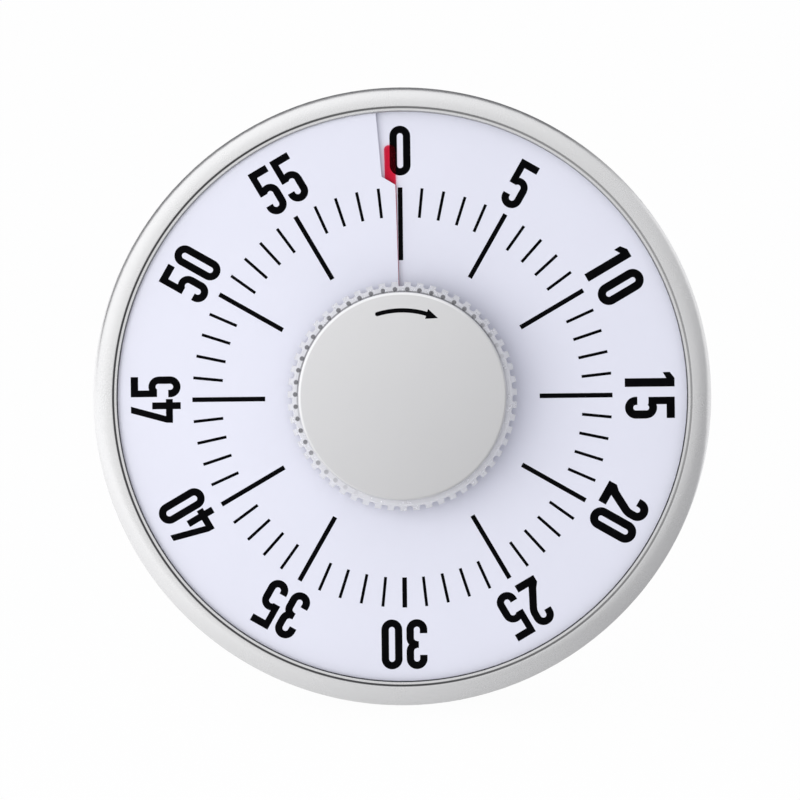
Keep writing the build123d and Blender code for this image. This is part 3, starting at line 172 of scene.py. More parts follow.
class Nodes:
    """Short ways to add and link the nodes of one tree.

    A value that a method takes as an object is a number, a Vector, a colour or a socket.
    """

    COLOUR_INPUTS = (6, 7)        # the two colours of a Mix node

    def __init__(self, tree: bpy.types.NodeTree) -> None:
        """Keeps the tree."""
        self.tree = tree

    @classmethod
    def cleared(cls, holder: bpy.types.ID) -> "Nodes":
        """Empties a material or a world, and returns its nodes."""
        holder.use_nodes = True
        holder.node_tree.nodes.clear()
        return cls(holder.node_tree)

    def add(self, kind: str, **settings: object) -> Node:
        """Adds a node.

        Args:
            kind: The node's type without its ShaderNode prefix, or its whole name.
            settings: Properties of the node.

        Returns:
            The new node.
        """
        node = self.tree.nodes.new(kind if kind.startswith("NodeGroup") else "ShaderNode" + kind)
        for name, value in settings.items():
            setattr(node, name, value)
        return node

    def feed(self, socket: Socket, value: object) -> None:
        """Sets an input to a number, a Vector or a colour, or links it to a socket."""
        if isinstance(value, Socket):
            self.tree.links.new(value, socket)
        else:
            socket.default_value = (*value, 1.0) if isinstance(value, tuple) else value

    def fill(self, node: Node, values: dict[str, object]) -> Node:
        """Feeds inputs of a node by name, and returns the node."""
        for name, value in values.items():
            self.feed(node.inputs[name], value)
        return node

    def group(self, tree: bpy.types.NodeTree, **values: object) -> Node:
        """Adds a node group and feeds its inputs by name."""
        return self.fill(self.add("Group", node_tree=tree), values)

    def place(self) -> Socket:
        """Place in object space."""
        return self.add("TexCoord").outputs["Object"]

    def noise(self, vector: Socket, scale: object, detail: float = 3.0,
              rough: float = 0.5) -> Socket:
        """Adds a noise texture and returns its value."""
        node = self.fill(self.add("TexNoise"), {"Vector": vector, "Scale": scale,
                                                "Detail": detail, "Roughness": rough})
        return node.outputs["Fac"]

    def ramp(self, value: Socket, low: object, high: object,
             to_low: object = 0.0, to_high: object = 1.0) -> Socket:
        """Maps a range of a value to another range, clamped, and returns it."""
        node = self.fill(self.add("MapRange", clamp=True), {
            "Value": value, "From Min": low, "From Max": high,
            "To Min": to_low, "To Max": to_high})
        return node.outputs["Result"]

    def math(self, operation: str, *values: object) -> Socket:
        """Adds a Math node and returns its value."""
        node = self.add("Math", operation=operation)
        for socket, value in zip(node.inputs, values):
            self.feed(socket, value)
        return node.outputs[0]

    def plus(self, first: object, *others: object) -> Socket:
        """Sum of values."""
        for other in others:
            first = self.math("ADD", first, other)
        return first

    def minus(self, first: object, other: object) -> Socket:
        """Difference of two values."""
        return self.math("SUBTRACT", first, other)

    def times(self, first: object, *others: object) -> Socket:
        """Product of values."""
        for other in others:
            first = self.math("MULTIPLY", first, other)
        return first

    def most(self, first: object, other: object) -> Socket:
        """The greater of two values."""
        return self.math("MAXIMUM", first, other)

    def length(self, x: Socket, y: Socket) -> Socket:
        """Length of a flat vector."""
        return self.math("SQRT", self.plus(self.times(x, x), self.times(y, y)))

    def facing(self, angle: Socket, towards: object) -> Socket:
        """Cosine of the turn from one clock angle to another, both in degrees."""
        return self.math("COSINE", self.math("RADIANS", self.minus(angle, towards)))

    def along(self, vector: Socket, axis: Vector) -> Socket:
        """Share of a vector along a fixed axis."""
        dot = self.add("VectorMath", operation="DOT_PRODUCT")
        self.feed(dot.inputs[0], vector)
        self.feed(dot.inputs[1], axis)
        return dot.outputs["Value"]

    def parts(self, vector: Socket) -> list[Socket]:
        """The x, y and z of a vector."""
        split = self.add("SeparateXYZ")
        self.feed(split.inputs[0], vector)
        return list(split.outputs)

    def on_face(self, face: FaceFrame) -> tuple[Socket, Socket]:
        """Radius in millimetres and clock angle in degrees about the dial's axis."""
        place = self.add("VectorMath", operation="SUBTRACT")
        self.feed(place.inputs[0], self.place())
        self.feed(place.inputs[1], face.origin)
        across, up = (self.along(place.outputs[0], axis) for axis in (face.right, face.up))
        angle = self.math("DEGREES", self.math("ARCTAN2", across, up))
        return self.times(self.length(across, up), 1 / MM), angle

    def mix(self, factor: Socket, *colours: object) -> Socket:
        """Mixes two colours and returns the colour."""
        node = self.add("Mix", data_type="RGBA")
        self.feed(node.inputs["Factor"], factor)
        for i, colour in zip(self.COLOUR_INPUTS, colours):
            self.feed(node.inputs[i], colour)
        return node.outputs[2]

    def output(self, first: Node, second: Node | None = None, factor: object = 0.0) -> None:
        """Joins a shader, or a mix of two shaders, to the material's output."""
        shown = first
        if second is not None:
            shown = self.add("MixShader")
            self.feed(shown.inputs["Fac"], factor)
            self.feed(shown.inputs[1], first.outputs[0])
            self.feed(shown.inputs[2], second.outputs[0])
        self.feed(self.add("OutputMaterial").inputs["Surface"], shown.outputs[0])


class Effects:
    """The node groups that several finishes share, each built once."""

    EDGE: Range = (0.515, 0.60)   # pointiness at which an edge starts to wear, and is worn
    WORN: Range = (0.38, 0.66)    # the parts of a noise that each effect uses
    SMUDGE: Range = (0.5, 0.72)
    HAIR: Range = (0.70, 0.76)
    SPECK: Range = (0.45, 0.7)
    LOOKS_UP: Range = (0.45, 0.95)   # z of a normal at which dust starts to lie, and lies
    DUST: Colour = (0.66, 0.65, 0.63)
    HAIR_STRETCH = Vector((1.0, 14.0, 14.0))
    HAIR_TURN = Vector((0.3, 0.6, 0.9))

    def __init__(self, face: FaceFrame) -> None:
        """Builds every group; those that go round the dial's axis need its frame."""
        self.face = face
        self.grain = self._grain()
        self.wear = self._wear()
        self.handling = self._handling()
        self.dust = self._dust()
        self.round_line = self._round_line()

    @staticmethod
    def _group(name: str, inputs: dict[str, object], *outputs: str) -> tuple[Nodes, Node, Node]:
        """Starts a group.

        Args:
            name: The group's name.
            inputs: Its inputs and their defaults, each a number or a colour.
            outputs: Its outputs; the one named Colour is a colour, the others are numbers.

        Returns:
            Its nodes, its input node and its output node.
        """
        tree = bpy.data.node_groups.new(name, "ShaderNodeTree")
        nodes = Nodes(tree)
        kinds = {True: "NodeSocketColor", False: "NodeSocketFloat"}
        for label, value in inputs.items():
            kind = kinds[isinstance(value, tuple)]
            nodes.feed(tree.interface.new_socket(label, in_out="INPUT", socket_type=kind), value)
        for label in outputs:
            tree.interface.new_socket(label, in_out="OUTPUT", socket_type=kinds[label == "Colour"])
        return nodes, nodes.add("NodeGroupInput"), nodes.add("NodeGroupOutput")

    def _grain(self) -> bpy.types.NodeTree:
        """Fine moulded grain: a height for bump and a spread of roughness."""
        nodes, into, out = self._group(
            "moulded_grain", {"Scale": 3000.0, "Low": 0.4, "High": 0.5}, "Roughness", "Height")
        place, scale = nodes.place(), into.outputs["Scale"]
        fine = nodes.noise(place, scale, rough=0.6)
        broad = nodes.noise(place, scale=45.0, detail=2.0)
        cells = nodes.fill(nodes.add("TexVoronoi", feature="SMOOTH_F1"),
                           {"Vector": place, "Scale": scale})
        spread = nodes.plus(nodes.times(broad, 0.65), nodes.times(fine, 0.35))
        height = nodes.plus(nodes.times(fine, 0.6),
                            nodes.times(cells.outputs["Distance"], 0.5))
        rough = nodes.ramp(spread, *MIDDLE, into.outputs["Low"], into.outputs["High"])
        nodes.fill(out, {"Roughness": rough, "Height": height})
        return nodes.tree

    def _wear(self) -> bpy.types.NodeTree:
        """Colour that lightens or darkens along edges, in broken patches."""
        nodes, into, out = self._group(
            "edge_wear", {"Colour": WHITE, "Worn": WHITE, "Amount": 0.5}, "Colour")
        edge = nodes.ramp(nodes.add("NewGeometry").outputs["Pointiness"], *self.EDGE)
        patches = nodes.noise(nodes.place(), scale=260.0, detail=4.0, rough=0.65)
        mask = nodes.times(edge, nodes.ramp(patches, *self.WORN), into.outputs["Amount"])
        nodes.fill(out, {"Colour": nodes.mix(mask, into.outputs["Colour"],
                                             into.outputs["Worn"])})
        return nodes.tree

    def _handling(self) -> bpy.types.NodeTree:
        """Smudges and hairline rubs from hands: a mask that changes the gloss a little."""
        nodes, _, out = self._group("handling_marks", {}, "Mask")
        place = nodes.place()
        smudge = nodes.ramp(nodes.noise(place, scale=70.0, detail=4.0, rough=0.6), *self.SMUDGE)
        stretch = nodes.fill(nodes.add("Mapping"), {
            "Vector": place, "Scale": self.HAIR_STRETCH, "Rotation": self.HAIR_TURN})
        rubs = nodes.noise(stretch.outputs["Vector"], scale=420.0, detail=2.0)
        nodes.fill(out, {"Mask": nodes.most(nodes.times(smudge, 0.6),
                                            nodes.ramp(rubs, *self.HAIR))})
        return nodes.tree

    def _dust(self) -> bpy.types.NodeTree:
        """Dust that settles on faces that look up."""
        nodes, into, out = self._group("settled_dust", {"Colour": WHITE, "Amount": 0.2}, "Colour")
        height = nodes.parts(nodes.add("NewGeometry").outputs["Normal"])[2]
        specks = nodes.noise(nodes.place(), scale=900.0, rough=0.7)
        mask = nodes.times(nodes.ramp(height, *self.LOOKS_UP), nodes.ramp(specks, *self.SPECK),
                           into.outputs["Amount"])
        nodes.fill(out, {"Colour": nodes.mix(mask, into.outputs["Colour"], self.DUST)})
        return nodes.tree

    def _round_line(self) -> bpy.types.NodeTree:
        """Painted shade or highlight along a line round the dial's axis, stronger towards one
        clock angle, as the light falls.
        """
        nodes, into, out = self._group("round_line", {
            "Inner": 10.0, "Outer": 11.0, "Soft": 0.1, "Towards": 0.0, "Fade": -1.0,
            "Full": 1.0, "Amount": 1.0}, "Mask")
        given = into.outputs
        radius, angle = nodes.on_face(self.face)
        edges = [nodes.ramp(radius, nodes.minus(given[name], given["Soft"]),
                            nodes.plus(given[name], given["Soft"]), low, 1.0 - low)
                 for name, low in (("Inner", 0.0), ("Outer", 1.0))]
        side = nodes.ramp(nodes.facing(angle, given["Towards"]), given["Fade"], given["Full"])
        nodes.fill(out, {"Mask": nodes.times(nodes.times(*edges),
                                             nodes.times(side, given["Amount"]))})
        return nodes.tree


# ---- finishes ----


@dataclass(frozen=True)
class RoundLine:
    """A painted line round the dial's axis: painted shade in a gap and along a step, a painted
    highlight on a rim.
    """

    inner: float                  # millimetres from the axis
    outer: float
    amount: float
    towards: float                # clock angle at which it is strongest
    fade: float                   # cosine from that angle at which it is gone
    full: float                   # and at which it is whole
    colour: Colour = (0.08, 0.08, 0.085)
    soft: float = 0.08


@dataclass(frozen=True)
class Finish:
    """A moulded or painted surface with grain, worn edges, marks and dust, and where given,
    painted lines of shade and highlight and a painted paler side.
    """

    name: str
    colour: Colour
    low: float                    # roughness, from
    high: float                   # and to
    metallic: float = 0.0
    specular: float = 0.5
    coat: float = 0.0
    coat_rough: float = 0.1
    grain: float = 3000.0         # grains to the metre, roughly
    relief: float = 0.02 * MM     # height of the grain
    strength: float = 0.25
    mottle: float = 0.03          # how far the colour wanders
    worn: Colour = (0.9, 0.9, 0.9)
    wear: float = 0.3
    marks: float = 0.06           # how much handling changes the roughness
    dust: float = 0.12
    # painted shade and highlight, in lines round the dial's axis
    lines: tuple[RoundLine, ...] = ()
    drift: float = 0.0            # painted light: how much paler the finish is painted to one side of the dial
    drift_span: float = 30.0      # millimetres from the axis at which it is palest
    drift_towards: float = 315.0

    def tint(self, share: float) -> Colour:
        """The base colour lightened or darkened by a share."""
        r, g, b = (min(1.0, max(0.0, c * (1 + share))) for c in self.colour)
        return (r, g, b)

    def mottled(self, nodes: Nodes, effects: Effects) -> Socket:
        """The finish's colour, which wanders a little, with painted light that may make it paler
        to one side.
        """
        wander = nodes.ramp(nodes.noise(nodes.place(), scale=28.0, detail=4.0, rough=0.6),
                            *MIDDLE)
        shades = [nodes.mix(wander, self.tint(shift - self.mottle),
                            self.tint(shift + self.mottle))
                  for shift in ((-self.drift, self.drift) if self.drift else (0.0,))]
        if not self.drift:
            return shades[0]
        # painted light: the colour grows paler towards one side of the dial
        radius, angle = nodes.on_face(effects.face)
        reach = nodes.times(radius, nodes.facing(angle, self.drift_towards))
        return nodes.mix(nodes.ramp(reach, -self.drift_span, self.drift_span), *shades)

    def lined(self, nodes: Nodes, effects: Effects, colour: Socket) -> Socket:
        """Paints the finish's lines of painted shade and highlight over its colour."""
        for line in self.lines:
            drawn = nodes.group(effects.round_line, Inner=line.inner, Outer=line.outer,
                                Soft=line.soft, Towards=line.towards, Fade=line.fade,
                                Full=line.full, Amount=line.amount)
            # painted shade and highlight: each line's colour is laid over the finish's colour
            colour = nodes.mix(drawn.outputs["Mask"], colour, line.colour)
        return colour

    def height(self, nodes: Nodes, grain: Node) -> Socket:
        """Height of the surface for its bump, from the group of its grain."""
        return grain.outputs["Height"]

    def surface(self, nodes: Nodes, effects: Effects) -> Node:
        """Builds the nodes of the finish.

        Args:
            nodes: Where the nodes go.
            effects: The shared groups.

        Returns:
            The Principled BSDF, before it is joined to the output.
        """
        worn = nodes.group(effects.wear, Colour=self.mottled(nodes, effects),
                           Worn=self.worn, Amount=self.wear)
        dusty = nodes.group(effects.dust, Colour=worn.outputs["Colour"], Amount=self.dust)
        grain = nodes.group(effects.grain, Scale=self.grain, Low=self.low, High=self.high)
        marks = nodes.group(effects.handling)
        bump = nodes.fill(nodes.add("Bump"), {
            "Strength": self.strength, "Distance": self.relief,
            "Height": self.height(nodes, grain)})
        return nodes.fill(nodes.add("BsdfPrincipled"), {
            "Metallic": self.metallic, "Specular IOR Level": self.specular,
            "Coat Weight": self.coat, "Coat Roughness": self.coat_rough,
            "Base Color": self.lined(nodes, effects, dusty.outputs["Colour"]),
            "Roughness": nodes.plus(grain.outputs["Roughness"],
                                    nodes.times(marks.outputs["Mask"], self.marks)),
            "Normal": bump.outputs["Normal"]})

    def output(self, nodes: Nodes, shader: Node) -> None:
        """Joins the shader to the material's output."""
        nodes.output(shader)

    def build(self, effects: Effects) -> Material:
        """Makes the material.

        Args:
            effects: The shared groups.

        Returns:
            The finished material.
        """
        material = bpy.data.materials.new(self.name)
        nodes = Nodes.cleared(material)
        self.output(nodes, self.surface(nodes, effects))
        return material


@dataclass(frozen=True)
class TurnedFinish(Finish):
    """Metal with the fine rings of a lathe."""

    ring_pitch: float = 0.12 * MM
    ring_share: float = 0.4       # height of the rings beside that of the grain
    ring_wander: float = 1.5
    waves: float = 20.0           # waves to the metre of a Wave texture at a scale of one

    def height(self, nodes: Nodes, grain: Node) -> Socket:
        """Adds the lathe's rings to the height of the plain finish."""
        rings = nodes.fill(nodes.add("TexWave", wave_type="RINGS", wave_profile="SIN"), {
            "Vector": nodes.place(), "Scale": 1.0 / (self.waves * self.ring_pitch),
            "Distortion": self.ring_wander})
        return nodes.plus(super().height(nodes, grain),
                          nodes.times(rings.outputs["Fac"], self.ring_share))


@dataclass(frozen=True)
class FlutedFinish(Finish):
    """Milky clear plastic, with a painted shade dot at the root of each tooth, darkest towards the
    upper left.
    """

    ior: float = 1.49
    clear: float = 0.3            # share of its light that goes through
    shadow_clear: float = 0.6     # share of the direct light that passes in its shadow
    teeth: int = 55
    first: float = 3.27           # clock angle of the first tooth
    pin_radius: float = 31.05     # millimetres from the axis to the middle of the painted shade dots
    pin_wide: float = 1.35
    pin_colour: Colour = (0.06, 0.06, 0.07)
    pin_amount: float = 0.8
    pin_towards: float = 320.0    # clock angle at which the painted shade dots are darkest
    pin_side: Range = (-0.5, 0.3)    # cosines from it at which they are gone and whole
    soft: float = 0.12
    turns: float = 1000.0         # keeps the count of teeth above zero

    def surface(self, nodes: Nodes, effects: Effects) -> Node:
        """Sets transmission on the plain finish."""
        return nodes.fill(super().surface(nodes, effects),
                          {"Transmission Weight": self.clear, "IOR": self.ior})

    def output(self, nodes: Nodes, shader: Node) -> None:
        """Lets a share of the light through where the skirt would cast its shadow."""
        shadow = nodes.times(nodes.add("LightPath").outputs["Is Shadow Ray"],
                             self.shadow_clear)
        nodes.output(shader, nodes.add("BsdfTransparent"), shadow)

    def lined(self, nodes: Nodes, effects: Effects, colour: Socket) -> Socket:
        """Adds the painted shade dots to the finish's painted lines."""
        colour = super().lined(nodes, effects, colour)
        radius, angle = nodes.on_face(effects.face)
        pitch = 360 / self.teeth
        tooth = nodes.math("DIVIDE", nodes.minus(angle, self.first - pitch / 2), pitch)
        part = nodes.minus(nodes.math("FRACT", nodes.plus(tooth, self.turns)), 0.5)
        across = nodes.times(part, math.radians(pitch) * self.pin_radius)
        away = nodes.length(across, nodes.minus(radius, self.pin_radius))
        # painted shade: a dark dot at the root of each tooth, faded out away from the upper left
        shade_dot = nodes.ramp(away, self.pin_wide / 2 - self.soft, self.pin_wide / 2 + self.soft,
                         self.pin_amount, 0.0)
        side = nodes.ramp(nodes.facing(angle, self.pin_towards), *self.pin_side)
        return nodes.mix(nodes.times(shade_dot, side), colour, self.pin_colour)


@dataclass(frozen=True)
class FilmFinish(Finish):
    """A coloured film: it filters what lies behind and scatters a little itself."""

    tint_through: Colour = (0.945, 0.375, 0.475)
    body: float = 0.03            # share of the film's own scattering

    def output(self, nodes: Nodes, shader: Node) -> None:
        """Mixes the film's own surface with the light that it lets through."""
        through = nodes.fill(nodes.add("BsdfTransparent"), {"Color": self.tint_through})
        nodes.output(through, shader, self.body)


@dataclass(frozen=True)
class Palette:
    """Every finish of the timer: one for each packed slot under its name, and the ink."""

    ring: Finish = Finish(
        "satin_silver_ring", (0.80, 0.80, 0.805), 0.24, 0.30, metallic=0.75, coat=0.1,
        coat_rough=0.2, grain=5200.0, relief=0.006 * MM, strength=0.2, mottle=0.008,
        worn=(0.86, 0.86, 0.87), wear=0.2, marks=0.02, dust=0.015,
        # painted shade: dark lines in the ring's groove and at the inner edge of its step, darkest
        # low on the left
        lines=(RoundLine(83.8, 84.4, 1.0, towards=255.0, fade=-1.9, full=0.2),
               RoundLine(82.6, 83.15, 1.0, towards=190.0, fade=-1.7, full=0.05)))
    knob_cap: Finish = Finish(
        "satin_silver_cap", (0.70, 0.70, 0.705), 0.28, 0.34, metallic=0.5, coat=0.1,
        coat_rough=0.25, grain=5200.0, relief=0.006 * MM, strength=0.2, mottle=0.008,
        # painted light: the cap is painted paler towards the upper left
        worn=(0.85, 0.85, 0.86), dust=0.05, drift=0.12,
        # painted highlight: a pale line round the rim of the cap, on its upper left
        lines=(RoundLine(29.4, 30.0, 0.8, towards=325.0, fade=0.2, full=0.6,
                         colour=(0.97, 0.97, 0.98)),))
    dial: Finish = Finish(
        "printed_dial_sheet", (0.79, 0.80, 0.895), 0.42, 0.5, grain=1800.0,
        relief=0.004 * MM, strength=0.15, mottle=0.012, worn=(0.84, 0.85, 0.92),
        wear=0.15, marks=0.05, dust=0.03)
    ink: Finish = Finish(
        "black_dial_ink", (0.0015, 0.0015, 0.002), 0.52, 0.62, specular=0.02, grain=4200.0,
        relief=0.004 * MM, strength=0.15, mottle=0.25, worn=(0.008, 0.008, 0.009), wear=0.2,
        marks=0.08, dust=0.0)
    film: FilmFinish = FilmFinish(
        "red_film", (0.62, 0.012, 0.045), 0.28, 0.36, grain=900.0, relief=0.003 * MM,
        strength=0.1, worn=(0.6, 0.05, 0.08), wear=0.1, marks=0.05, dust=0.02)
    inner_plastic: Finish = Finish(
        "white_inner_plastic", (0.72, 0.725, 0.75), 0.46, 0.56, grain=2600.0,
        relief=0.015 * MM, mottle=0.02)
    knob_core: Finish = Finish(
        "white_knob_core", (0.74, 0.745, 0.76), 0.42, 0.5, grain=2600.0,
        relief=0.01 * MM, mottle=0.015)
    knob_skirt: FlutedFinish = FlutedFinish(
        "milky_knob_skirt", (0.87, 0.875, 0.915), 0.22, 0.30, grain=900.0,
        relief=0.004 * MM, strength=0.08, mottle=0.01, worn=(0.95, 0.95, 0.97), dust=0.0,
        # painted shadow: a dark hairline on the skirt round the cap's edge, darkest at the top
        lines=(RoundLine(30.1, 30.65, 0.65, towards=345.0, fade=-0.1, full=0.4),))
    steel: TurnedFinish = TurnedFinish(
        "turned_steel", (0.56, 0.57, 0.58), 0.22, 0.34, metallic=1.0, grain=2600.0,
        relief=0.006 * MM, mottle=0.05, worn=(0.8, 0.8, 0.8), wear=0.5, dust=0.03)
    case: Finish = Finish(
        "grained_case_plastic", (0.76, 0.765, 0.775), 0.46, 0.58, grain=2300.0,
        relief=0.03 * MM, strength=0.35, mottle=0.02, worn=(0.83, 0.83, 0.83), wear=0.35,
        marks=0.07, dust=0.15)
    rubber: Finish = Finish(
        "black_rubber", (0.022, 0.022, 0.023), 0.66, 0.8, grain=1500.0, relief=0.04 * MM,
        strength=0.4, mottle=0.12, worn=(0.09, 0.09, 0.088), wear=0.7, dust=0.35)
    magnet: TurnedFinish = TurnedFinish(
        "nickel_plate", (0.68, 0.67, 0.65), 0.12, 0.24, metallic=1.0, grain=1700.0,
        relief=0.004 * MM, mottle=0.04, worn=(0.8, 0.79, 0.76), wear=0.4, dust=0.04)
    black_plastic: Finish = Finish(
        "black_plastic", (0.03, 0.03, 0.033), 0.4, 0.52, grain=2300.0, strength=0.3,
        mottle=0.1, worn=(0.11, 0.11, 0.11), wear=0.5)
    wheel: Finish = Finish(
        "natural_gear_plastic", (0.74, 0.70, 0.60), 0.36, 0.46, grain=2600.0,
        relief=0.008 * MM, worn=(0.8, 0.78, 0.7), dust=0.05)
    copper: TurnedFinish = TurnedFinish(
        "lacquered_copper_wire", (0.62, 0.27, 0.13), 0.2, 0.3, metallic=1.0, coat=0.6,
        coat_rough=0.08, grain=5200.0, strength=0.6, mottle=0.08, worn=(0.75, 0.4, 0.25),
        dust=0.02)
    brass: TurnedFinish = TurnedFinish(
        "bright_brass", (0.72, 0.54, 0.24), 0.18, 0.3, metallic=1.0, grain=2600.0,
        relief=0.006 * MM, mottle=0.05, worn=(0.85, 0.7, 0.4), dust=0.03)
    cell: Finish = Finish(
        "battery_can", (0.06, 0.065, 0.075), 0.26, 0.36, metallic=0.7, coat=0.5,
        grain=1800.0, relief=0.005 * MM, mottle=0.08, worn=(0.4, 0.4, 0.42), wear=0.5,
        dust=0.04)
    board: Finish = Finish(
        "green_solder_mask", (0.012, 0.10, 0.045), 0.24, 0.38, coat=0.4, coat_rough=0.15,
        grain=1500.0, mottle=0.12, worn=(0.35, 0.36, 0.3), dust=0.08)


class Dresser:
    """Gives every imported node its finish, and keeps each material for later pieces."""

    def __init__(self, effects: Effects) -> None:
        """Starts with no material made."""
        self.effects = effects
        self.made: dict[str, Material] = {}

    def material(self, finish: Finish) -> Material:
        """The material of a finish, built the first time that it is asked for."""
        if finish.name not in self.made:
            self.made[finish.name] = finish.build(self.effects)
        return self.made[finish.name]

    def dress_nodes(self, nodes: dict[str, bpy.types.Object], palette: Palette) -> None:
        """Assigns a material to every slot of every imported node.

        Args:
            nodes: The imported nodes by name.
            palette: The timer's finishes.
        """
        for name, obj in sorted(nodes.items()):
            for holder in obj.material_slots:
                slot = Slot(holder.material.name.split(".")[0])
                holder.material = self.material(getattr(palette, slot.value))
            log.info("dressed %s", name)


# ---- flat printed shapes ----


class Sheet2D:
    """A flat shape joined from overlapping strokes and patches, in millimetres."""

    WELD = 1e-5                   # points nearer than this are one point

    def __init__(self) -> None:
        """Starts empty."""
        self.faces: list[list[Point2]] = []

    def patch(self, *corners: Point2) -> None:
        """Adds a polygon."""
        self.faces.append(list(corners))

    def bar(self, x0: float, y0: float, x1: float, y1: float) -> None:
        """Adds an upright rectangle between two corners."""
        self.patch((x0, y0), (x1, y0), (x1, y1), (x0, y1))

    def arc(self, centre: Point2, radius: float, width: float, start: float, end: float,
            step: float = 6.0) -> None:
        """Adds a stroke along an arc.

        Args:
            centre: Middle of the arc.
            radius: Radius of its centre line.
            width: Width of the stroke.
            start: First angle, in degrees against the clock from +x.
            end: Last angle.
            step: Longest step between two points.
        """
        count = max(2, math.ceil(abs(end - start) / step))
        turns = [math.radians(start + (end - start) * i / count) for i in range(count + 1)]
        rim = [(math.cos(turn), math.sin(turn)) for turn in turns]
        near, far = radius - width / 2, radius + width / 2
        for one, two in zip(rim, rim[1:]):
            self.patch(*[(centre[0] + reach * way[0], centre[1] + reach * way[1])
                         for reach, way in ((near, one), (far, one), (far, two), (near, two))])

    def moved(self, matrix: Matrix) -> "Sheet2D":
        """A copy turned and moved by a flat matrix."""
        copy = Sheet2D()
        for face in self.faces:
            copy.faces.append([tuple((matrix @ Vector((x, y, 0)))[:2]) for x, y in face])
        return copy

    def join(self, other: "Sheet2D") -> None:
        """Adds the faces of another shape."""
        self.faces += other.faces

    def united(self) -> tuple[list[Point2], list[tuple[int, ...]]]:
        """Unites the faces.

        Returns:
            Points and faces of one flat shape with no overlap.
        """
        points, faces = [], []
        for face in self.faces:
            area = sum(a[0] * b[1] - b[0] * a[1] for a, b in zip(face, face[1:] + face[:1]))
            ordered = face if area > 0 else face[::-1]
            faces.append(list(range(len(points), len(points) + len(ordered))))
            points += [Vector(p) for p in ordered]
        whole = delaunay_2d_cdt(points, [], faces, 0, self.WELD, True)
        verts, found, origins = whole[0], whole[2], whole[5]
        return ([tuple(v) for v in verts],
                [tuple(face) for face, inside in zip(found, origins) if inside])


@dataclass(frozen=True)
class PrintLayer:
    """Ink laid on a surface: a thin closed slab that follows it."""

    proud: float = 0.03 * MM
    sunk: float = 0.05 * MM

    def lay(self, name: str, shape: Sheet2D, place: Callable[[float, float, float], Vector],
            material: Material) -> bpy.types.Object:
        """Makes the slab.

        Args:
            name: The piece's name.
            shape: The flat shape, in millimetres.
            place: Gives the world point of x, y and a height over the surface, in metres.
            material: The ink.

        Returns:
            The new object, linked to the scene.
        """
        points, faces = shape.united()
        mesh = bmesh.new()
        upper, lower = ([mesh.verts.new(place(x * MM, y * MM, z)) for x, y in points]
                        for z in (self.proud, -self.sunk))
        sides: list[tuple[int, int]] = []
        for face in faces:
            mesh.faces.new([upper[i] for i in face])
            mesh.faces.new([lower[i] for i in reversed(face)])
            sides += zip(face, face[1:] + face[:1])
        inside = set(sides)
        for a, b in sides:
            if (b, a) not in inside:
                mesh.faces.new([upper[b], upper[a], lower[a], lower[b]])
        bmesh.ops.recalc_face_normals(mesh, faces=mesh.faces)
        return mesh_object(name, mesh, material)


# ---- digits ----


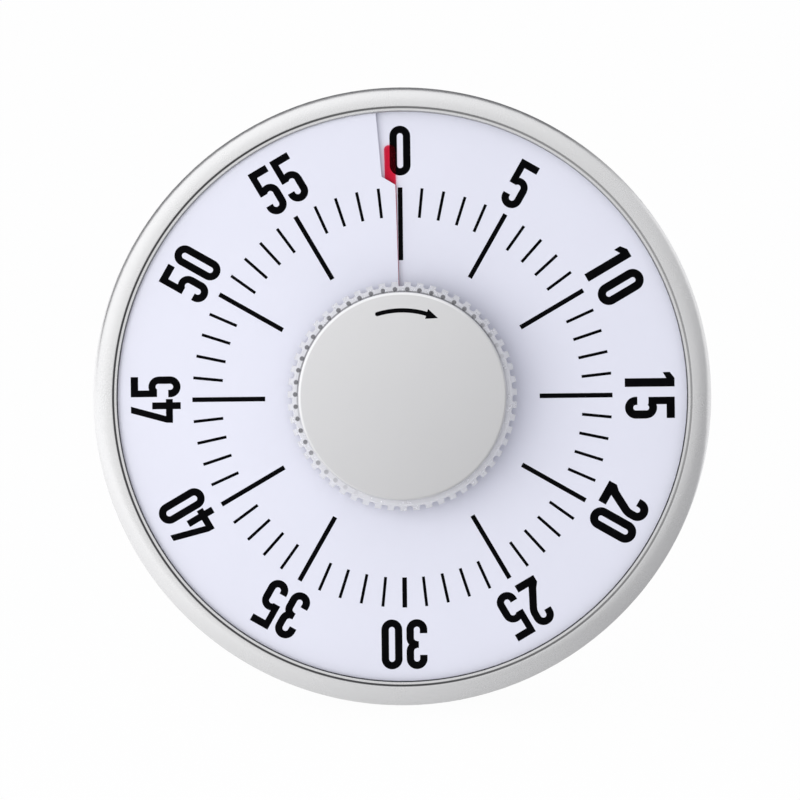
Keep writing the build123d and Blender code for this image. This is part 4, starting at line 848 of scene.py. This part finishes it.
@dataclass(frozen=True)
class Lettering:
    """Narrow upright digits drawn from bars and arcs of one stroke, in millimetres."""

    tall: float = 14.5
    wide: float = 6.07
    stroke: float = 2.16
    pitch: float = 7.28
    hook: float = 4.1             # how far the open end of a bend reaches below its top

    @property
    def top(self) -> float:
        """Upper edge of a digit."""
        return self.tall / 2

    @property
    def outer(self) -> float:
        """Half of a digit's width."""
        return self.wide / 2

    @property
    def bend(self) -> float:
        """Radius of the centre line of a digit's round ends."""
        return (self.wide - self.stroke) / 2

    @property
    def spring(self) -> float:
        """Height of the centre of the upper round end."""
        return self.top - self.outer

    def digit(self, figure: int) -> Sheet2D:
        """Draws a digit about its own middle."""
        shape = Sheet2D()
        (self._zero, self._one, self._two, self._three, self._four, self._five)[figure](shape)
        return shape

    def _upright(self, shape: Sheet2D, x: float, low: float, high: float) -> None:
        """Adds an upright stroke about x."""
        shape.bar(x - self.stroke / 2, low, x + self.stroke / 2, high)

    def _round_ends(self, shape: Sheet2D, *sides: int) -> None:
        """Adds the upper round end for a side of 1, and the lower one for a side of -1."""
        for side in sides:
            shape.arc((0, side * self.spring), self.bend, self.stroke, 90 - 90 * side,
                      270 - 90 * side)

    def _hung(self, shape: Sheet2D, *corners: Point2) -> None:
        """Adds a polygon, each corner given by x and its depth below the digit's top."""
        shape.patch(*[(x, self.top - depth) for x, depth in corners])

    def _zero(self, shape: Sheet2D) -> None:
        """An upright ring with round ends."""
        self._round_ends(shape, 1, -1)
        for x in (-self.bend, self.bend):
            self._upright(shape, x, -self.spring, self.spring)

    def _one(self, shape: Sheet2D) -> None:
        """A stem, a little wider than the stroke, with a slanting flag."""
        right = 1.21
        left = right - self.stroke - 0.1
        shape.bar(left, -self.top, right, self.top)
        self._hung(shape, (left, 0.0), (-3.05, 1.38), (-3.0, 3.42), (left, 2.42))

    def _two(self, shape: Sheet2D) -> None:
        """A round top, a slanting neck and a flat foot."""
        knee = self.top - 4.35        # where the neck starts to lean
        reach, slant = 4.2, 28.0      # radius and angle of its bend
        foot = self.stroke + 0.1
        foot_over = 0.3               # the foot reaches this far past the round top
        foot_short = 0.05
        root = foot * 0.55            # the neck ends this far up in the foot
        flare = 1.06                  # and is this much wider there
        heel_low, heel_share = 0.5, 0.72
        self._round_ends(shape, 1)
        shape.bar(-self.outer, self.top - self.hook, -self.outer + self.stroke, self.spring)
        self._upright(shape, self.bend, knee, self.spring)
        hub = (self.bend - reach, knee)
        shape.arc(hub, reach, self.stroke, 0, -slant, 4.0)
        turn = math.radians(slant)
        across = (math.cos(turn), -math.sin(turn))
        start = (hub[0] + reach * across[0], hub[1] + reach * across[1])
        low = root - self.top
        end = (start[0] - (start[1] - low) * math.tan(turn), low)
        half = self.stroke / 2
        (start_left, start_right), (end_left, end_right) = (
            [(spot[0] + side * across[0], spot[1] + side * across[1]) for side in (-span, span)]
            for spot, span in ((start, half), (end, half * flare)))
        shape.patch(start_right, end_right, end_left, start_left)
        corner = -self.outer - foot_over
        shape.bar(corner, -self.top, self.outer - foot_short, foot - self.top)
        heel = tuple(a + (b - a) * heel_share for a, b in zip(start_left, end_left))
        shape.patch((corner, foot - self.top), (corner, heel_low - self.top),
                    (0, heel_low - self.top), end_right, heel)

    def _three(self, shape: Sheet2D) -> None:
        """Two bowls that meet at a short middle bar."""
        waist = 0.12
        bar_left, bar_half = -0.55, self.stroke * 0.45
        self._round_ends(shape, 1, -1)
        for side in (1, -1):
            inner = waist + side * self.bend
            self._upright(shape, self.bend, inner, side * self.spring)
            shape.arc((0, inner), self.bend, self.stroke, 0, -90 * side)
            shape.bar(-self.outer, side * self.spring, -self.outer + self.stroke,
                      side * (self.top - self.hook))
        shape.bar(bar_left, waist - bar_half, 0.0, waist + bar_half)

    def _four(self, shape: Sheet2D) -> None:
        """An open four: a slanting stroke, a bar and a short stem."""
        left, inner = (-3.15, 10.3), (-1.2, 10.2)
        self._hung(shape, (-0.3, 0.0), (1.62, 0.0), inner, left)
        self._hung(shape, left, inner, (3.72, 10.2), (3.72, 12.2), (-3.2, 12.2))
        self._hung(shape, (0.78, self.tall), (2.78, self.tall), (2.78, 6.2), (0.78, 6.2))

    def _five(self, shape: Sheet2D) -> None:
        """A flat top, a short back and an open bowl."""
        inset = 0.1                   # of the flat top at each side
        back, back_low = self.stroke * 0.9, 7.65
        bowl_top, bowl_stroke, bowl_end = 5.12, self.stroke * 0.96, 152
        tail = 3.6                    # height of the bowl's open end
        left = inset - self.outer
        hub = self.top - bowl_top - self.outer
        shape.bar(left, self.top - self.stroke, -left, self.top)
        shape.bar(left, self.top - back_low, left + back, self.top)
        shape.arc((0, hub), self.bend, bowl_stroke, 0, bowl_end)
        self._upright(shape, self.bend, -self.spring, hub)
        self._round_ends(shape, -1)
        shape.bar(-self.outer, -self.spring, -self.outer + self.stroke, tail - self.top)


@dataclass(frozen=True)
class Numeral:
    """A number of minutes on the dial."""

    minutes: int
    past: float                   # degrees that its middle lies past its tick
    radius: float                 # millimetres from the dial's centre to its middle
    bold: bool = False


# ---- the timer's print ----


@dataclass
class DialPrint:
    """Ticks and numbers printed on the dial."""

    outer: float = 61.15          # radius of the ticks' outer ends
    major_inner: float = 39.95
    half_inner: float = 52.4      # the tick of the half hour is short
    minor_inner: float = 52.5
    major_wide: float = 1.36
    minor_wide: float = 0.86
    tick_parts: int = 4           # pieces along a tick, which let it follow the dial
    bold_stroke: float = 2.40
    bold_wider: float = 0.33
    middle: Point2 = (0.03, -0.31)   # the print sits a little off the dial's centre
    screw: DialScrew = DialScrew()
    numerals: tuple[Numeral, ...] = (
        Numeral(0, 0.07, 71.85), Numeral(5, -0.6, 70.5), Numeral(10, 0.88, 71.07, True),
        Numeral(15, 0.1, 72.0, True), Numeral(20, -1.05, 71.65, True),
        Numeral(25, 0.46, 71.1), Numeral(30, 0.18, 71.85), Numeral(35, 0.35, 70.95),
        Numeral(40, 1.54, 71.4), Numeral(45, 0.17, 71.8), Numeral(50, 1.0, 71.2),
        Numeral(55, 0.6, 71.38))

    def tick(self, minute: int) -> Sheet2D:
        """One tick, as a bar turned to its minute."""
        major = minute % 5 == 0
        inner = self.major_inner if major else self.minor_inner
        if minute == 30:
            inner = self.half_inner
        half = (self.major_wide if major else self.minor_wide) / 2
        ends = [inner + (self.outer - inner) * i / self.tick_parts
                for i in range(self.tick_parts + 1)]
        bar = Sheet2D()
        for low, high in zip(ends, ends[1:]):
            bar.bar(-half, low, half, high)
        return bar.moved(Matrix.Rotation(math.radians(-MINUTE * minute), 4, "Z"))

    def number(self, numeral: Numeral) -> Sheet2D:
        """The digits of one number, upright along its own radius."""
        letters = Lettering()
        if numeral.bold:
            letters = Lettering(wide=letters.wide + self.bold_wider, stroke=self.bold_stroke)
        figures = [int(c) for c in str(numeral.minutes)]
        whole = Sheet2D()
        for i, figure in enumerate(figures):
            shift = (i - (len(figures) - 1) / 2) * letters.pitch
            whole.join(letters.digit(figure).moved(Matrix.Translation((shift, 0, 0))))
        angle = MINUTE * numeral.minutes
        past = math.radians(angle + numeral.past)
        middle = Vector((math.sin(past), math.cos(past), 0)) * numeral.radius
        return whole.moved(Matrix.Translation(middle)
                           @ Matrix.Rotation(math.radians(-angle), 4, "Z"))

    def build(self, face: FaceFrame, dresser: Dresser, palette: Palette) -> None:
        """Lays every tick and number on the dial.

        Args:
            face: The dial's frame.
            dresser: Gives the ink.
            palette: The timer's finishes.
        """
        ink = dresser.material(palette.ink)
        layer = PrintLayer()
        middle = Matrix.Translation((*self.middle, 0))

        def lay(name: str, shape: Sheet2D, minute: int) -> None:
            """Lays the shape of a minute; that of the zero reaches to both sides of the slit."""
            low = -180.0 if minute == 0 else 0.0

            def place(x: float, y: float, z: float) -> Vector:
                """World point over the dial."""
                return face.point(x, y, self.screw.height(x, y, low) + z)

            obj = layer.lay(name, shape.moved(middle), place, ink)
            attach(obj, Body.TIMER.value)
            log.info("printed %s", name)

        for minute in range(60):
            lay(f"tick_{minute:02d}", self.tick(minute), minute)
        for numeral in self.numerals:
            lay(f"number_{numeral.minutes:02d}", self.number(numeral), numeral.minutes)


@dataclass
class KnobPrint:
    """The curved arrow on the knob's cap, which shows the way to turn it."""

    top: float = 49.6 * MM        # upper face of the cap
    radius: float = 24.87         # centre line of the arrow
    wide: float = 1.25
    tail: float = -16.4           # clock angle of the arrow's tail
    neck: float = 17.0            # and of its head's root
    neck_gap: float = 0.6         # degrees that the shaft ends before the head's root
    tip: float = 25.2
    head_wide: float = 3.0

    def shape(self) -> Sheet2D:
        """Draws the arrow."""
        tail, neck, tip = (math.radians(90 - angle) for angle in (self.tail, self.neck, self.tip))
        half = self.head_wide / 2
        arrow = Sheet2D()
        arrow.arc((0, 0), self.radius, self.wide, 90 - self.tail,
                  90 - self.neck - self.neck_gap, 2.0)
        end = (self.radius * math.cos(tail), self.radius * math.sin(tail))
        arrow.arc(end, self.wide / 4, self.wide / 2, 0, 360, 30.0)
        arrow.patch(*[(r * math.cos(a), r * math.sin(a))
                      for r, a in ((self.radius - half, neck), (self.radius, tip),
                                   (self.radius + half, neck))])
        return arrow

    def build(self, face: FaceFrame, dresser: Dresser, palette: Palette) -> None:
        """Lays the arrow on the cap."""
        obj = PrintLayer().lay("cap_arrow", self.shape(),
                               lambda x, y, z: face.point(x, y, self.top + z),
                               dresser.material(palette.ink))
        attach(obj, Body.KNOB.value)
        log.info("printed the cap's arrow")


# ---- studio ----


@dataclass
class Studio:
    """Floor, soft light and the white surroundings."""

    key_power: float = 1.65       # watts
    key_wide: float = 0.80
    key_tall: float = 0.50
    key_place: tuple[float, float, float] = (-0.314, 0.01, 0.596)
    key_aim: float = 0.03         # height over the back of the case that it points at
    key_colour: Colour = (1.0, 0.985, 0.94)
    ambient: float = 0.65
    ambient_colour: Colour = (0.985, 0.992, 1.05)
    ambient_side: float = 0.35    # how much brighter the light is on the bright side
    bright_side: float = 305.0    # clock angle that the bright side lies at
    front_light: float = 0.72     # what metal mirrors from before the dial
    side_light: float = 0.50      # and how much more from the bright side
    fill_light: float = 0.16      # a weaker screen
    fill_side: float = 50.0       # and the clock angle that it stands at
    paper_from: Range = (-0.2, -0.4)    # how far backwards the white paper is mirrored
    wall_from: Range = (-0.3, -0.5)     # and the dark wall
    wall_edge: Range = (-0.2, 0.1)
    wall_lean: float = 0.8        # slope of the wall's edge
    wall_light: float = 0.05      # share of the other light that the wall still gives
    floor_colour: Colour = (0.95, 0.95, 0.955)
    floor_rough: Range = (0.86, 0.94)
    floor_side: float = 6.0
    floor_cells: int = 8
    floor_blend: float = 0.97     # how far the paper gives way to that white and dimness
    floor_dim: float = 0.42       # what metal mirrors from the floor right of the timer
    floor_dim_from: float = -0.12    # metres to the right of the timer's middle
    floor_dim_to: float = 0.09
    floor_lift: float = 0.22      # and how much more from the floor far to its left
    floor_lift_at: float = -0.4
    floor_white: Range = (0.04, 0.12)   # metres behind the timer that it grows white again

    def floor(self) -> None:
        """Lays the floor, which looks white and keeps the timer's shadow."""
        mesh = bmesh.new()
        bmesh.ops.create_grid(mesh, x_segments=self.floor_cells, y_segments=self.floor_cells,
                              size=self.floor_side)
        mesh_object("studio_floor", mesh, self.floor_material())

    def floor_material(self) -> Material:
        """Pale paper: white to the camera, but metal mirrors it dimmer to the right."""
        material = bpy.data.materials.new("studio_paper")
        nodes = Nodes.cleared(material)
        place = nodes.place()
        fibre = nodes.noise(place, scale=600.0, detail=4.0)
        paper = nodes.fill(nodes.add("BsdfPrincipled"), {
            "Base Color": self.floor_colour,
            "Roughness": nodes.ramp(fibre, *MIDDLE, *self.floor_rough)})
        rays = nodes.add("LightPath").outputs
        plain = nodes.most(rays["Is Camera Ray"], rays["Is Transmission Ray"])
        x, y, _ = nodes.parts(place)
        dim = nodes.ramp(x, self.floor_dim_from, self.floor_dim_to, 1.0, self.floor_dim)
        lift = nodes.ramp(x, self.floor_dim_from, self.floor_lift_at, 0.0, self.floor_lift)
        mirrored = nodes.most(nodes.plus(dim, lift), nodes.ramp(y, *self.floor_white))
        glossy = nodes.times(rays["Is Glossy Ray"], mirrored)
        glow = nodes.fill(nodes.add("Emission"), {"Strength": nodes.most(plain, glossy)})
        seen = nodes.most(plain, rays["Is Glossy Ray"])
        nodes.output(paper, glow, nodes.times(seen, self.floor_blend))
        return material

    def mirrored(self, nodes: Nodes, face: FaceFrame, bright: Socket) -> Socket:
        """What metal mirrors: screens that grow brighter to one side, with a weaker one at
        the other, white paper behind, and a dark wall far behind on the upper left.

        Args:
            nodes: The world's nodes.
            face: The dial's frame, which the screens stand round.
            bright: Share of each direction towards the bright side.

        Returns:
            The light from each direction.
        """
        way = nodes.add("TexCoord").outputs["Generated"]
        right, up, out = (nodes.along(way, axis) for axis in (face.right, face.up, face.out))
        fill = nodes.most(nodes.along(way, face.towards(self.fill_side)), 0.0)
        screens = nodes.plus(nodes.times(bright, self.side_light),
                             nodes.plus(nodes.times(fill, self.fill_light), self.front_light))
        corner = nodes.minus(nodes.times(up, self.wall_lean), right)
        dark = nodes.times(nodes.ramp(out, *self.wall_from), nodes.ramp(corner, *self.wall_edge))
        behind = nodes.times(nodes.ramp(out, *self.paper_from), nodes.minus(1.0, dark))
        keep = nodes.minus(1.0, nodes.times(dark, 1.0 - self.wall_light))
        return nodes.times(nodes.most(screens, behind), keep)

    def world(self, face: FaceFrame) -> None:
        """White surroundings for the camera, screens for what metal mirrors."""
        world = bpy.data.worlds.new("studio_world")
        bpy.context.scene.world = world
        nodes = Nodes.cleared(world)
        rays = nodes.add("LightPath").outputs
        bright = nodes.along(nodes.add("TexCoord").outputs["Generated"],
                             face.towards(self.bright_side))
        seen = nodes.most(rays["Is Camera Ray"], rays["Is Transmission Ray"])
        glossy = nodes.times(rays["Is Glossy Ray"], self.mirrored(nodes, face, bright))
        other = nodes.minus(1.0, nodes.most(seen, rays["Is Glossy Ray"]))
        soft = nodes.plus(nodes.times(bright, self.ambient * self.ambient_side), self.ambient)
        back = nodes.fill(nodes.add("Background"), {
            "Color": nodes.mix(other, WHITE, self.ambient_colour),
            "Strength": nodes.plus(nodes.most(seen, glossy), nodes.times(other, soft))})
        nodes.fill(nodes.add("OutputWorld"), {"Surface": back.outputs[0]})

    def key(self, face: FaceFrame) -> None:
        """Stands the soft key light before the dial and to its left."""
        lamp = bpy.data.lights.new("key_light", "AREA")
        lamp.shape = "ELLIPSE"
        lamp.size = self.key_wide
        lamp.size_y = self.key_tall
        lamp.energy = self.key_power
        lamp.color = self.key_colour
        obj = new_object("key_light", lamp)
        obj.visible_camera = False
        obj.visible_glossy = False
        place = face.point(*self.key_place)
        aim = (face.point(0, 0, self.key_aim) - place).to_track_quat("-Z", "Y")
        obj.matrix_world = Matrix.Translation(place) @ aim.to_matrix().to_4x4()

    def build(self, face: FaceFrame) -> None:
        """Builds the whole studio."""
        bpy.context.scene.view_settings.view_transform = "Standard"
        self.floor()
        self.world(face)
        self.key(face)
        log.info("lit the studio")


@dataclass
class Viewpoint:
    """The camera, straight before the dial with a long lens."""

    distance: float = 2.6         # metres from the ring's front
    far: float = 50.0             # metres that it sees
    ring_height: float = 34.0 * MM
    ring_radius: float = 90.0 * MM
    ring_pixels: float = 309.3    # radius of the ring in the picture
    centre_x: float = 402.35      # its centre in the picture
    centre_y: float = 396.35
    roll: float = 0.65            # degrees
    sensor: float = 36.0          # millimetres

    def build(self, face: FaceFrame) -> None:
        """Places the camera on the dial's axis."""
        data = bpy.data.cameras.new("camera")
        data.sensor_width = self.sensor
        data.lens = (self.sensor * self.distance * self.ring_pixels
                     / (IMAGE * self.ring_radius))
        data.shift_x = (IMAGE / 2 - self.centre_x) / IMAGE
        data.shift_y = (self.centre_y - IMAGE / 2) / IMAGE
        data.clip_end = self.far
        obj = new_object("camera", data)
        up = face.towards(self.roll)
        axes = Matrix((up.cross(face.out), up, face.out)).transposed().to_4x4()
        place = face.point(0, 0, self.ring_height + self.distance)
        obj.matrix_world = Matrix.Translation(place) @ axes
        bpy.context.scene.camera = obj
        log.info("placed the camera %.2f m before the dial", self.distance)


# ---- all of it ----


def main() -> None:
    """Builds the looks, the studio and the camera."""
    logging.basicConfig(level=logging.INFO, format="%(name)s: %(message)s")
    face = FaceFrame.from_knob(frame["joints"], KNOB_ANCHOR)
    palette = Palette()
    dresser = Dresser(Effects(face))
    dresser.dress_nodes(frame["nodes"], palette)
    DialPrint().build(face, dresser, palette)
    KnobPrint().build(face, dresser, palette)
    Studio().build(face)
    Viewpoint().build(face)


if __name__ == "__main__":
    main()
